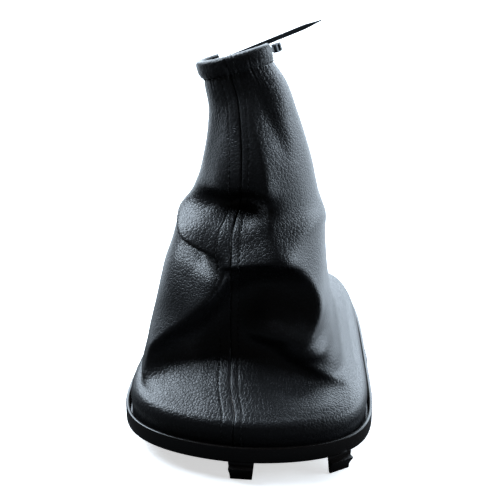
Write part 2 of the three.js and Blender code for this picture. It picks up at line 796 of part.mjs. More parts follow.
function boxAt(centre, size, angle) {
  const geometry = new THREE.BoxGeometry(size.along, size.across, size.high);
  geometry.rotateZ(angle);
  geometry.translate(centre.x, centre.y, TIE_HEIGHT);
  return toManifold(geometry);
}

function tailSolid(start) {
  const tail = new THREE.BoxGeometry(TIE_TAIL, TIE_THICKNESS, TIE_WIDTH);
  let solid = toManifold(tail);
  const lean = Math.atan2(0.35 * TIE_WIDTH, TIE_POINT);
  [1, -1].forEach((side) => {
    const wedge = new THREE.BoxGeometry(2 * TIE_POINT, 2 * TIE_THICKNESS, TIE_WIDTH);
    wedge.translate(0, 0, (side * TIE_WIDTH) / 2);
    wedge.rotateY(side * lean);
    wedge.translate(TIE_TAIL / 2, 0, side * 0.15 * TIE_WIDTH);
    solid = solid.subtract(toManifold(wedge));
  });
  const placed = toGeometry(solid);
  placed.translate(TIE_TAIL / 2 - TIE_THICKNESS, 0, 0);
  placed.rotateY(-THREE.MathUtils.degToRad(TIE_TAIL_LIFT));
  placed.translate(start.x, start.y, TIE_HEIGHT);
  return toManifold(placed);
}

function cableTie() {
  const path = tiePath();
  const strap = new THREE.ExtrudeGeometry(strapShape(path), {
    depth: TIE_WIDTH,
    bevelEnabled: false,
  });
  strap.translate(0, 0, TIE_HEIGHT - TIE_WIDTH / 2);
  const lead = path[0].clone().sub(path[1]).normalize();
  const angle = Math.atan2(lead.y, lead.x);
  const headCentre = path[0].clone().addScaledVector(lead, TIE_HEAD.along / 2 - 0.5);
  const slot = { along: TIE_SLOT.along, across: 2 * TIE_HEAD.across, high: TIE_SLOT.high };
  const solid = toManifold(strap)
    .add(tailSolid(path[path.length - 1]))
    .add(boxAt(headCentre, TIE_HEAD, angle))
    .subtract(boxAt(headCentre, slot, angle));
  const geometry = toGeometry(solid);
  geometry.applyMatrix4(neckMatrix);
  return geometry;
}

function named(name, geometry, material) {
  const mesh = new THREE.Mesh(geometry, material);
  mesh.name = name;
  return mesh;
}

const gaiter = new THREE.Group();
gaiter.add(named("outer_frame", frameSolid(), frameMaterial));
gaiter.add(named("carrier_ring", carrierRing(), ringMaterial));
gaiter.add(named("right_panel", panelSolid(0), leatherMaterial));
gaiter.add(named("left_panel", panelSolid(1), leatherMaterial));
gaiter.add(named("cable_tie", cableTie(), tieMaterial));

export default gaiter;
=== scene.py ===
"""Gear lever gaiter: black leatherette on a snap-in frame, with a cable tie through its neck hem.

Every size is in millimetres in the classes below and goes to metres when a mesh is made.
"""

import logging
import math
from dataclasses import dataclass, field
from enum import Enum
from typing import Callable, Sequence

import bpy
import numpy as np
from mathutils import Matrix, Vector, noise


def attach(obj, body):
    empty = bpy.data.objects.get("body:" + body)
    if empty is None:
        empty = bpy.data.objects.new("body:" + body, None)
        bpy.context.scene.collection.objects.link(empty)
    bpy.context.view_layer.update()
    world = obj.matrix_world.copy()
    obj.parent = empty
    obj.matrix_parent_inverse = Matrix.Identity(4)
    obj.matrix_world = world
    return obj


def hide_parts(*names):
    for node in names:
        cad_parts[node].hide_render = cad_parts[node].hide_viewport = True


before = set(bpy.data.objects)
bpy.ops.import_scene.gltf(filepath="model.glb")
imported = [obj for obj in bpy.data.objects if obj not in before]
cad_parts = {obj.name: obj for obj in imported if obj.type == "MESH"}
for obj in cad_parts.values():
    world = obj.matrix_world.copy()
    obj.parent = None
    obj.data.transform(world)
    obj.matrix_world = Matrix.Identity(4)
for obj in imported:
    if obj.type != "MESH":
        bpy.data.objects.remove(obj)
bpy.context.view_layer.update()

LOG = logging.getLogger("gaiter")
MM = 0.001
TINY = 1e-9
HEM_STITCH = 0.35  # height of the hem's stitch line over the collar plane
HEM_SINK = 0.35  # how deep the hem's stitches lie in the sheet
Pair = tuple[float, float]
Triple = tuple[float, float, float]
Inputs = dict[str | int, object]


def smooth_step(low: float, high: float, value: np.ndarray) -> np.ndarray:
    """Ease from 0 at low to 1 at high.

    Args:
        low: value where the result is 0.
        high: value where the result is 1.
        value: numbers to ease.

    Returns:
        The eased numbers.
    """
    t = np.clip((np.asarray(value, float) - low) / (high - low), 0.0, 1.0)
    return t * t * (3.0 - 2.0 * t)


def follow(points: Sequence[Pair], x: np.ndarray) -> np.ndarray:
    """Read a smooth curve through [x, y] pairs that never overshoots them.

    Args:
        points: the pairs, in order of x.
        x: where the curve is read.

    Returns:
        The curve's y at each x.
    """
    table = np.array(points, float)
    xs, ys = table[:, 0], table[:, 1]
    rate = np.diff(ys) / np.diff(xs)
    slope = np.zeros(len(xs))
    slope[0], slope[-1] = rate[0], rate[-1]
    for k in range(1, len(xs) - 1):
        before, after = rate[k - 1], rate[k]
        slope[k] = 0.0 if before * after <= 0 else 2 * before * after / (before + after)
    x = np.clip(x, xs[0], xs[-1])
    i = np.clip(np.searchsorted(xs, x, side="right") - 1, 0, len(xs) - 2)
    step = xs[i + 1] - xs[i]
    t = (x - xs[i]) / step
    a, b, rise = slope[i] * step, slope[i + 1] * step, ys[i + 1] - ys[i]
    return ys[i] + t * (a + t * (3 * rise - 2 * a - b + t * (a + b - 2 * rise)))


def signed_power(value: np.ndarray, exponent: np.ndarray | float) -> np.ndarray:
    """Raise a number's size to a power and keep its sign."""
    return np.sign(value) * np.abs(value) ** exponent


def unit(vectors: np.ndarray) -> np.ndarray:
    """Scale vectors, which lie along the last axis, to a length of 1."""
    return vectors / np.maximum(np.linalg.norm(vectors, axis=-1, keepdims=True), TINY)


def walk(line: np.ndarray) -> np.ndarray:
    """Measure how far along a line each of its points lies."""
    strides = np.linalg.norm(np.diff(line, axis=0), axis=1)
    return np.concatenate([[0.0], np.cumsum(strides)])


def resample(corners: Sequence[Pair], count: int) -> tuple[np.ndarray, np.ndarray]:
    """Lay points evenly along a line through pairs, with its corners eased.

    Args:
        corners: the pairs.
        count: how many points.

    Returns:
        The first and the second number of each point.
    """
    table = np.array(corners, float)
    walked = walk(table)
    at = np.linspace(0, walked[-1], count)
    first, second = (follow(list(zip(walked, table[:, k])), at) for k in range(2))
    return first, second


def squarish(across: float, up: float, corner: float, count: int) -> np.ndarray:
    """Draw a loop between an ellipse and a box.

    Args:
        across: half its width.
        up: half its height.
        corner: 1 for an ellipse, and less for sharper corners.
        count: how many points.

    Returns:
        The loop's points as (across, up).
    """
    turn = np.linspace(0, 2 * np.pi, count, endpoint=False)
    loop = [across * signed_power(np.cos(turn), corner), up * signed_power(np.sin(turn), corner)]
    return np.stack(loop, 1)


class Outline:
    """A closed flat outline that is walked by its length, from the front round the right."""

    STEPS = 1440
    REACH = 1.5  # how far to either side the direction is measured

    def __init__(self, point_at: Callable[[np.ndarray], np.ndarray]) -> None:
        """Trace the outline.

        Args:
            point_at: gives the outline's points at an array of turns, in radians.
        """
        self.points = point_at(np.linspace(0.0, 2 * np.pi, self.STEPS + 1))
        self.lengths = walk(self.points)
        self.length = float(self.lengths[-1])

    def at(self, share: np.ndarray) -> np.ndarray:
        """Give the points at shares of the outline's length."""
        walked = (share - np.floor(share)) * self.length
        return np.stack([np.interp(walked, self.lengths, p) for p in self.points.T], -1)

    def outward(self, share: np.ndarray) -> np.ndarray:
        """Give the unit vectors that point out of the outline."""
        nudge = self.REACH / self.length
        along = unit(self.at(share + nudge) - self.at(share - nudge))
        return np.stack([along[..., 1], -along[..., 0]], -1)

    def inset(self, share: np.ndarray, distance: np.ndarray) -> np.ndarray:
        """Give points moved in from the outline.

        Args:
            share: shares of the outline's length.
            distance: how far in, in millimetres.

        Returns:
            The moved points.
        """
        return self.at(share) - self.outward(share) * np.asarray(distance)[..., None]


@dataclass(frozen=True)
class Fold:
    """One fold of the leatherette: a ridge or a hollow along a path on the plain cone.

    The path's nodes are (turn in degrees from the front seam to the right, rise from the
    rolled edge to the neck, height in millimetres out of the sheet). reach is how far the fold
    spreads to the left and right of the path, and a crisp fold has a crest like a crease.
    """

    name: str
    path: tuple[Triple, ...]
    reach: Pair
    crisp: bool = True


FOLDS = (
    Fold(
        "crest between the front and right faces",
        ((4, 0.93, 0), (12, 0.87, 4), (20, 0.81, 6), (24, 0.74, 8), (25, 0.64, 9),
         (24, 0.54, 9), (24, 0.48, 8), (28, 0.44, 8), (37, 0.395, 9), (46, 0.34, 10),
         (50, 0.29, 11), (45, 0.228, 11), (38, 0.18, 10), (30, 0.142, 10), (33, 0.115, 9),
         (42, 0.083, 8), (50, 0.05, 6), (57, 0.025, 4), (62, 0.005, 0)),
        (18, 10),
    ),
    Fold(
        "crest of the shelf over the front hollow",
        ((38, 0.395, 0), (29, 0.42, 7), (21, 0.43, 11), (8, 0.43, 13), (1, 0.425, 12),
         (-5, 0.42, 7), (-11, 0.41, 0)),
        (8, 19),
    ),
    Fold(
        "crest of the left lobe",
        ((-6, 0.42, 0), (-4, 0.39, 6), (-5, 0.353, 12), (-11, 0.31, 15), (-20, 0.24, 15),
         (-29, 0.185, 14), (-38, 0.135, 12), (-43, 0.095, 9), (-46, 0.06, 7), (-48, 0.03, 5),
         (-49, 0.0, 2)),
        (6, 17),
    ),
    Fold(
        "tuck under the upper front",
        ((-64, 0.61, 0), (-50, 0.60, -5), (-36, 0.59, -9), (-12, 0.57, -13), (6, 0.565, -14),
         (17, 0.585, -11), (25, 0.61, 0)),
        (9, 6),
        False,
    ),
    Fold(
        "bulge above the tuck",
        ((-85, 0.68, 0), (-50, 0.67, 4), (-20, 0.665, 7), (3, 0.665, 7), (17, 0.67, 4),
         (24, 0.67, 0)),
        (22, 9),
        False,
    ),
    Fold(
        "diagonal crest left of the shelf",
        ((-96, 0.62, 0), (-82, 0.59, 3), (-62, 0.57, 6), (-44, 0.545, 9), (-32, 0.515, 12),
         (-20, 0.485, 12), (-11, 0.455, 8), (-5, 0.43, 0)),
        (13, 6),
    ),
    Fold(
        "valley between the diagonal crest and the left lobe",
        ((-80, 0.53, 0), (-60, 0.505, -4), (-42, 0.465, -8), (-28, 0.43, -9), (-18, 0.405, -7),
         (-12, 0.39, 0)),
        (5, 10),
        False,
    ),
    Fold(
        "flat of the neck's front face",
        ((-40, 0.98, 0), (-42, 0.9, -2), (-42, 0.8, -3.5), (-42, 0.7, -3), (-42, 0.63, 0)),
        (10, 10),
        False,
    ),
    Fold(
        "streak beside the neck",
        ((30, 0.985, 0), (33, 0.92, -1.0), (38, 0.85, -1.5), (43, 0.78, -1.3), (46, 0.70, 0)),
        (4, 4),
        False,
    ),
    Fold(
        "great hollow of the front",
        ((-34, 0.11, 0), (-25, 0.15, -5), (-15, 0.20, -8), (-4, 0.255, -9), (10, 0.295, -11),
         (26, 0.30, -11), (37, 0.29, -8), (46, 0.27, 0)),
        (17, 17),
        False,
    ),
    Fold(
        "bulge inside the great hollow",
        ((6, 0.19, 0), (16, 0.185, 7), (26, 0.185, 10), (35, 0.195, 7), (41, 0.205, 0)),
        (13, 7),
        False,
    ),
    Fold(
        "lower hollow over the apron",
        ((-46, 0.015, 0), (-39, 0.04, -5), (-25, 0.083, -7), (-9, 0.11, -8), (6, 0.115, -8),
         (16, 0.10, -8), (26, 0.07, -8), (36, 0.043, -8), (44, 0.024, -7), (52, 0.01, -4),
         (58, 0.0, 0)),
        (15, 10),
        False,
    ),
)


@dataclass
class GaiterForm:
    """Sizes and surface of the gaiter, shared by the sheet, its seams and the frame."""

    clip_reach: float = 10.8
    frame_length: float = 168
    frame_width: float = 124
    frame_taper: float = 0.158
    front_bow: Pair = (1.8, 5.0)
    back_bow: Pair = (5.0, 4.5)
    rim_height: float = 9.5
    rim_thickness: float = 1.8
    flange_width: float = 15
    flange_thickness: float = 2
    leather: float = 1.2
    groove: float = 1.6
    allowance: float = 9.2
    wrap_radius: float = 2
    roll_rise: float = 6
    roll_span: float = 5.6
    roll_height: float = 7.5
    front_seam_shift: float = -4.5
    seam_allowance: float = 7
    clearance: float = 0.3
    neck_rise: float = 180
    neck_shift: Pair = (-9.6, 0)
    neck_width: float = 36.9
    neck_depth: float = 20
    neck_bow: float = 2.3
    neck_roll: float = 18
    neck_pitch: float = 12
    neck_seam_shift: float = -2.5
    band_height: float = 10
    band_puff: float = 1.7
    hem_tunnel: float = 2.2
    hem_tail: float = 3
    notch_left: float = -9.5
    notch_front: float = -2.5
    notch_floor: float = 1
    fold_blend: float = 5  # how far a node of a fold spreads along it
    fold_fade: Pair = (18, 38)  # how far behind its line a fold starts to fade, and is gone
    fold_depth: float = 35  # how fast a fold weakens behind its line
    fold_facing: float = 0.3  # how far past edge-on a fold is still seen on the sheet
    fold_stride: float = 2.5
    fold_calm: Pair = (0.03, 0.93)  # rises where the folds are whole
    front_draw: tuple[Pair, ...] = (
        (0, 0), (0.028, 0.14), (0.066, 0.26), (0.117, 0.385), (0.18, 0.477), (0.3, 0.55),
        (0.42, 0.62), (0.52, 0.73), (0.61, 0.765), (0.78, 0.846), (0.874, 0.91), (1, 1),
    )
    right_draw: tuple[Pair, ...] = (
        (0, 0), (0.05, 0.17), (0.15, 0.28), (0.28, 0.355), (0.46, 0.42), (0.55, 0.51),
        (0.672, 0.6), (0.76, 0.675), (0.855, 0.778), (0.93, 0.867), (1, 1),
    )
    back_draw: tuple[Pair, ...] = (
        (0, 0), (0.05, 0.2), (0.18, 0.42), (0.43, 0.62), (0.685, 0.8), (0.875, 0.93), (1, 1),
    )
    left_draw: tuple[Pair, ...] = (
        (0, 0), (0.104, 0.08), (0.17, 0.115), (0.287, 0.23), (0.426, 0.385), (0.495, 0.44),
        (0.56, 0.66), (0.63, 0.85), (0.7, 0.97), (0.8, 1.05), (0.9, 1.08), (1, 1),
    )
    folds: tuple[Fold, ...] = FOLDS

    def __post_init__(self) -> None:
        """Work out the outlines, the collar plane and the heights that the sizes give."""
        self.flange_top = self.clip_reach + self.flange_thickness
        self.sheet_bottom = self.flange_top + self.clearance
        self.ring_bottom = self.sheet_bottom + self.leather + self.clearance
        self.sheet_inset = self.rim_thickness + self.groove
        self.wall_top = self.clip_reach + self.rim_height + self.roll_rise
        self.shoulder_inset = self.sheet_inset + self.roll_span
        self.shoulder_z = self.wall_top + self.roll_height
        self.tunnel = self.band_puff - self.leather - self.hem_tunnel / 2
        self.draws = (self.left_draw, self.right_draw, self.front_draw, self.back_draw)
        self.frame_loop = Outline(self._frame_outline)
        self.neck_loop = Outline(self._neck_outline)
        self.frame_seams = (self.front_seam_shift / self.frame_loop.length, 0.5)
        self.neck_seams = (self.neck_seam_shift / self.neck_loop.length, 0.5)
        roll = Matrix.Rotation(-math.radians(self.neck_roll), 3, "Y")
        pitch = Matrix.Rotation(-math.radians(self.neck_pitch), 3, "X")
        self.neck_axes = np.array(roll @ pitch)
        self.neck_centre = np.array([*self.neck_shift, self.clip_reach + self.neck_rise])
        ring = np.arange(96) / 48
        self.shoulder_size = self._extent(
            self.frame_point(ring, self.shoulder_inset, self.shoulder_z)
        )
        self.neck_size = self._extent(self.neck_point(ring, 0.0, 0.0))
        self._lines = [self._fold_line(fold) for fold in self.folds]

    def _frame_outline(self, turn: np.ndarray) -> np.ndarray:
        """Give the frame's outer outline at an array of turns."""
        across, along = np.sin(turn), -np.cos(turn)
        bow_x = np.where(along < 0, self.front_bow[0], self.back_bow[0])
        bow_y = np.where(along < 0, self.front_bow[1], self.back_bow[1])
        y = signed_power(along, 2 / bow_y)
        x = signed_power(across, 2 / bow_x) * (1 - self.frame_taper * y)
        return np.stack([x * self.frame_width / 2, y * self.frame_length / 2], -1)

    def _neck_outline(self, turn: np.ndarray) -> np.ndarray:
        """Give the neck's stitch line in the collar plane at an array of turns."""
        x = signed_power(np.sin(turn), 2 / self.neck_bow)
        y = signed_power(-np.cos(turn), 2 / self.neck_bow)
        return np.stack([x * self.neck_width / 2, y * self.neck_depth / 2], -1)

    @staticmethod
    def _extent(points: np.ndarray) -> tuple[float, float, float, float]:
        """Give the left, right, front and back limits of points."""
        low, high = points.min(0), points.max(0)
        return low[0], high[0], low[1], high[1]

    @staticmethod
    def share(seams: Pair, column: np.ndarray) -> np.ndarray:
        """Turn columns, 0 to 1 round the right panel and 1 to 2 round the left, to shares."""
        turn = np.mod(column, 2.0)
        right = seams[0] + (seams[1] - seams[0]) * turn
        left = seams[1] + (seams[0] + 1 - seams[1]) * (turn - 1)
        return np.where(turn <= 1, right, left)

    def frame_point(self, column: np.ndarray, inset: np.ndarray, z: np.ndarray) -> np.ndarray:
        """Give points on the frame's outline.

        Args:
            column: columns round the gaiter.
            inset: how far in from the outer edge.
            z: heights.

        Returns:
            The points.
        """
        column = np.asarray(column, float)
        flat = self.frame_loop.inset(self.share(self.frame_seams, column), inset + 0 * column)
        return np.concatenate([flat, (z + 0 * column)[..., None]], -1)

    def neck_point(self, column: np.ndarray, out: np.ndarray, up: np.ndarray) -> np.ndarray:
        """Give points on the neck's collar.

        Args:
            column: columns round the gaiter.
            out: how far out from the stitch line.
            up: how far up the collar's axis.

        Returns:
            The points.
        """
        column = np.asarray(column, float)
        flat = self.neck_loop.inset(self.share(self.neck_seams, column), -(out + 0 * column))
        local = np.concatenate([flat, (up + 0 * column)[..., None]], -1)
        return self.to_world(local)

    def to_world(self, local: np.ndarray) -> np.ndarray:
        """Turn collar-plane points to the part's own frame."""
        return local @ self.neck_axes.T + self.neck_centre

    def _sides(self, rise: np.ndarray) -> tuple[np.ndarray, ...]:
        """Give the cone's left, right, front and back limits at a rise."""
        return tuple(
            low + (high - low) * follow(draw, rise)
            for low, high, draw in zip(self.shoulder_size, self.neck_size, self.draws)
        )

    def cone_point(self, column: np.ndarray, rise: np.ndarray) -> np.ndarray:
        """Give points of the cone without its folds.

        Args:
            column: columns round the gaiter.
            rise: 0 at the rolled edge to 1 at the neck.

        Returns:
            The points.
        """
        column, rise = np.asarray(column, float), np.asarray(rise, float)
        low = self.frame_point(column, self.shoulder_inset, self.shoulder_z)
        high = self.neck_point(column, 0.0, 0.0)
        left, right, front, back = self._sides(rise)
        shape = sum(follow(draw, rise) for draw in self.draws) / 4

        def place(axis: int, start: np.ndarray, end: np.ndarray) -> np.ndarray:
            """Blend the shoulder's and the neck's outlines and fit them from start to end."""
            blend = 0.0
            for points, size, part in (
                (low, self.shoulder_size, 1 - shape), (high, self.neck_size, shape)
            ):
                first, last = size[2 * axis : 2 * axis + 2]
                blend = blend + (2 * points[..., axis] - first - last) / (last - first) * part
            return (start + end) / 2 + blend * (end - start) / 2

        middle_x, middle_y = (left + right) / 2, (front + back) / 2
        x, y = place(0, left, right), place(1, front, back)
        axis = self.neck_axes[:, 2]
        tilt = -axis[0] / axis[2] * (x - middle_x) - axis[1] / axis[2] * (y - middle_y)
        z = self.shoulder_z + (self.neck_centre[2] - self.shoulder_z) * rise
        return np.stack([x, y, z + smooth_step(0, 1, rise) * tilt], -1)

    def _fold_line(self, fold: Fold) -> dict[str, np.ndarray]:
        """Lay a fold's path on the plain cone as closely spaced nodes with their directions."""
        path = np.array(fold.path, float)
        walked = walk(self.cone_point(path[:, 0] / 180, path[:, 1]))
        count = max(2, int(walked[-1] / self.fold_stride))
        at = (np.arange(count) + 0.5) * walked[-1] / count
        turn, rise, height = (np.interp(at, walked, path[:, k]) for k in range(3))
        for _ in range(3):
            for values in (turn, rise):
                values[1:-1] = 0.25 * values[:-2] + 0.5 * values[1:-1] + 0.25 * values[2:]
        column = turn / 180
        points = self.cone_point(column, rise)
        along = np.gradient(points, axis=0)
        length = np.linalg.norm(along, axis=1)
        along /= length[:, None]
        e = 1e-3
        around = self.cone_point(column + e, rise) - self.cone_point(column - e, rise)
        over, under = np.clip(rise + e, 0, 1), np.clip(rise - e, 0, 1)
        climb = self.cone_point(column, over) - self.cone_point(column, under)
        normal = unit(np.cross(around, climb))
        return {
            "points": points, "along": along, "side": np.cross(normal, along),
            "normal": normal, "height": height, "length": length,
        }

    def _fold_height(
        self, fold: Fold, line: dict[str, np.ndarray], at: np.ndarray, out: np.ndarray
    ) -> np.ndarray:
        """Give how far one fold moves each point out of the plain cone."""
        total = np.zeros(at.shape[:-1])
        blend, (whole, gone) = self.fold_blend, self.fold_fade
        for k, height in enumerate(line["height"]):
            if abs(height) < 1e-3:
                continue
            offset = at - line["points"][k]
            along = offset @ line["along"][k]
            side = offset @ line["side"][k]
            depth = np.minimum(offset @ line["normal"][k], 0.0)
            near = (np.abs(along) < 3 * blend) & (depth > -gone)
            spread = side / np.where(side > 0, fold.reach[0], fold.reach[1])
            if fold.crisp:
                crest = np.exp(-1.5 * (np.sqrt(spread**2 + 0.01) - 0.1))
            else:
                crest = np.exp(-spread**2)
            weight = np.exp(-(along / blend) ** 2 - (depth / self.fold_depth) ** 2)
            weight *= smooth_step(-gone, -whole, depth)
            facing = out @ line["normal"][k][:2]
            weight *= smooth_step(-self.fold_facing, self.fold_facing, facing)
            share = line["length"][k] / (blend * math.sqrt(math.pi))
            total += np.where(near, height * share * weight * crest, 0.0)
        return total

    def folded_point(self, column: np.ndarray, rise: np.ndarray) -> np.ndarray:
        """Give points of the cone with its folds.

        Args:
            column: columns round the gaiter.
            rise: 0 at the rolled edge to 1 at the neck.

        Returns:
            The points.
        """
        points = self.cone_point(column, rise)
        left, right, front, back = self._sides(rise)
        middle = np.stack([(left + right) / 2, (front + back) / 2], -1)
        out = unit(points[..., :2] - middle)
        height = np.zeros(points.shape[:-1])
        for fold, line in zip(self.folds, self._lines):
            height += self._fold_height(fold, line, points, out)
        low, high = self.fold_calm
        height *= smooth_step(0, low, rise) * smooth_step(1, high, rise)
        out[..., 0] *= smooth_step(0.0, 0.7, np.abs(out[..., 0]))
        points[..., :2] += out * height[..., None]
        return points

    def mouths(self) -> Pair:
        """Give the shares of the neck's outline where the hem's tunnel ends at the notch."""
        share = np.linspace(-0.5, 0.5, 2001)
        x, y = self.neck_loop.inset(share, -self.tunnel + 0 * share).T
        first = share[(share > 0) & (y > self.notch_front)].min()
        last = share[(share < 0) & (y > 0) & (x > self.notch_left)].max()
        return first, last


def linear(hex_colour: str) -> tuple[float, float, float, float]:
    """Turn an sRGB hex colour to linear RGBA.

    Args:
        hex_colour: such as "#1d1e21".

    Returns:
        The linear colour with an alpha of 1.
    """
    parts = [int(hex_colour[i : i + 2], 16) / 255 for i in (1, 3, 5)]
    curve = [c / 12.92 if c <= 0.04045 else ((c + 0.055) / 1.055) ** 2.4 for c in parts]
    return (*curve, 1.0)


def plug(tree: bpy.types.NodeTree, node: bpy.types.Node, inputs: Inputs) -> None:
    """Fill a node's inputs.

    Args:
        tree: node tree that the node is in.
        node: the node.
        inputs: socket name or index to a value, or to an output socket that is linked to it.
    """
    for key, value in inputs.items():
        if isinstance(value, bpy.types.NodeSocket):
            tree.links.new(value, node.inputs[key])
        else:
            node.inputs[key].default_value = value


def add_node(
    tree: bpy.types.NodeTree, kind: str, inputs: Inputs | None = None, **settings: str
) -> bpy.types.Node:
    """Add a shader node with its settings, values and links.

    Args:
        tree: node tree that the node goes into.
        kind: node type without its prefix, such as Bump.
        inputs: what fills its inputs, as in plug.
        settings: attributes of the node.

    Returns:
        The new node.
    """
    node = tree.nodes.new("ShaderNode" + kind)
    for key, value in settings.items():
        setattr(node, key, value)
    plug(tree, node, inputs or {})
    return node


def start_material(
    name: str,
) -> tuple[bpy.types.Material, bpy.types.NodeTree, bpy.types.Node, bpy.types.NodeSocket]:
    """Start a material.

    Args:
        name: its name.

    Returns:
        The material, its node tree, its shader and the socket of the place on the object.
    """
    material = bpy.data.materials.new(name)
    material.use_nodes = True
    tree = material.node_tree
    where = add_node(tree, "TexCoord").outputs["Object"]
    return material, tree, tree.nodes["Principled BSDF"], where


class Gloss(Enum):
    """How polished a moulding's tool was, as the roughness that it leaves."""

    SPARK_ETCHED = 0.46
    SATIN = 0.22


@dataclass(frozen=True)
class Leatherette:
    """PVC-coated textile: a pebbled black skin whose crests catch small, soft highlights."""

    name: str = "black_leatherette"
    pebble: float = 1.65
    body: str = "#0b0b0d"
    worn: str = "#121316"
    roughness: Pair = (0.36, 0.44)
    bump: float = 0.42
    ior: float = 1.52

    def build(self) -> bpy.types.Material:
        """Make the material: rounded pebbles with fine creases between them, and painted shade
        that darkens the creases.
        """
        material, tree, shader, where = start_material(self.name)
        warp = add_node(
            tree, "TexNoise", {"Vector": where, "Scale": 260.0, "Detail": 1.0},
            noise_dimensions="3D",
        )
        drift = add_node(
            tree, "VectorMath", {0: warp.outputs["Color"], "Scale": 0.0016}, operation="SCALE"
        )
        bent = add_node(tree, "VectorMath", {0: where, 1: drift.outputs[0]}, operation="ADD")
        pebbles = {"Vector": bent.outputs[0], "Scale": 1.0 / (self.pebble * MM)}
        cells = add_node(
            tree, "TexVoronoi", {**pebbles, "Smoothness": 0.25}, feature="SMOOTH_F1"
        )
        crease = add_node(tree, "TexVoronoi", pebbles, feature="DISTANCE_TO_EDGE")
        # Near 0 in the creases and 1 on the pebbles: it shapes the bump, and further down it
        # paints shade into the creases.
        rounded_off = add_node(
            tree, "MapRange",
            {"Value": crease.outputs["Distance"], "From Min": 0.0, "From Max": 0.22},
            interpolation_type="SMOOTHSTEP",
        ).outputs[0]
        fine = add_node(
            tree, "TexNoise", {"Vector": where, "Scale": 2600.0, "Detail": 3.0, "Roughness": 0.6}
        )
        height = add_node(
            tree, "Math", {0: cells.outputs["Distance"], 1: -0.5, 2: rounded_off},
            operation="MULTIPLY_ADD",
        )
        grain = add_node(
            tree, "Math", {0: fine.outputs["Fac"], 1: 0.25, 2: height.outputs[0]},
            operation="MULTIPLY_ADD",
        )
        bump = add_node(
            tree, "Bump", {"Height": grain.outputs[0], "Strength": self.bump, "Distance": 0.0002}
        )
        patch = add_node(
            tree, "TexNoise", {"Vector": where, "Scale": 42.0, "Detail": 3.0, "Roughness": 0.6}
        ).outputs["Fac"]
        low, high = self.roughness
        rough = add_node(tree, "MapRange", {"Value": patch, "To Min": low, "To Max": high})
        tint = add_node(
            tree, "Mix", {"Factor": patch, "A": linear(self.body), "B": linear(self.worn)},
            data_type="RGBA",
        )
        # Painted shade: the base colour is darkened towards the creases between the pebbles.
        painted_crease_shade = add_node(
            tree, "Mix", {"Factor": 0.35, "A": tint.outputs["Result"], "B": rounded_off},
            data_type="RGBA", blend_type="MULTIPLY",
        )
        plug(tree, shader, {
            "Base Color": painted_crease_shade.outputs["Result"], "Roughness": rough.outputs[0],
            "Normal": bump.outputs[0], "IOR": self.ior,
        })
        return material


@dataclass(frozen=True)
class MouldedPlastic:
    """Injection-moulded plastic: an even colour whose highlights the tool's grain breaks up."""

    name: str
    colour: str
    gloss: Gloss
    grit: float = 0.35
    ior: float = 1.49
    bump: float = 0.05

    def build(self) -> bpy.types.Material:
        """Make the material: an even colour with a fine etched grain and faint flow marks."""
        material, tree, shader, where = start_material(self.name)
        grit = add_node(
            tree, "TexNoise", {"Vector": where, "Scale": 1.0 / (self.grit * MM), "Detail": 2.0}
        )
        bump = add_node(
            tree, "Bump",
            {"Height": grit.outputs["Fac"], "Strength": self.bump, "Distance": 0.0001},
        )
        flow = add_node(tree, "TexNoise", {"Vector": where, "Scale": 30.0, "Detail": 2.0})
        low, high = self.gloss.value - 0.04, self.gloss.value + 0.05
        rough = add_node(
            tree, "MapRange", {"Value": flow.outputs["Fac"], "To Min": low, "To Max": high}
        )
        plug(tree, shader, {
            "Base Color": linear(self.colour), "Roughness": rough.outputs[0],
            "Normal": bump.outputs[0], "IOR": self.ior,
        })
        return material


@dataclass(frozen=True)
class SewingThread:
    """Bonded polyester thread: a dull black line with the slanted light of its twisted plies."""

    name: str = "black_polyester_thread"
    colour: str = "#050506"
    roughness: float = 0.75
    twist: float = 0.5

    def build(self) -> bpy.types.Material:
        """Make the material: a dark thread with the slanted bands of its twist."""
        material, tree, shader, where = start_material(self.name)
        ply = add_node(
            tree, "TexWave",
            {"Vector": where, "Scale": 1.0 / (self.twist * MM) / 3, "Distortion": 0.5},
            bands_direction="DIAGONAL",
        )
        bump = add_node(
            tree, "Bump", {"Height": ply.outputs["Fac"], "Strength": 0.5, "Distance": 0.0001}
        )
        plug(tree, shader, {
            "Base Color": linear(self.colour), "Roughness": self.roughness,
            "Normal": bump.outputs[0],
        })
        return material


def mesh_object(
    name: str,
    points: np.ndarray,
    faces: np.ndarray | list[Sequence[int]],
    material: bpy.types.Material,
    flat_from: int | None = None,
) -> bpy.types.Object:
    """Make an object from points in millimetres and faces.

    Args:
        name: the piece's name.
        points: the corners, in millimetres.
        faces: corner numbers of each face.
        material: its finish.
        flat_from: faces from this number on are shaded flat.

    Returns:
        The new object, linked to the scene.
    """
    mesh = bpy.data.meshes.new(name)
    mesh.from_pydata((np.asarray(points) * MM).tolist(), [], [list(f) for f in faces])
    smooth = np.ones(len(mesh.polygons), bool)
    if flat_from is not None:
        smooth[flat_from:] = False
    mesh.polygons.foreach_set("use_smooth", smooth)
    mesh.materials.append(material)
    mesh.update()
    obj = bpy.data.objects.new(name, mesh)
    bpy.context.scene.collection.objects.link(obj)
    return obj


def grid_normals(grid: np.ndarray) -> np.ndarray:
    """Give the outward normals of a grid of points laid out in rows and columns."""
    return unit(np.cross(np.gradient(grid, axis=1), np.gradient(grid, axis=0)))


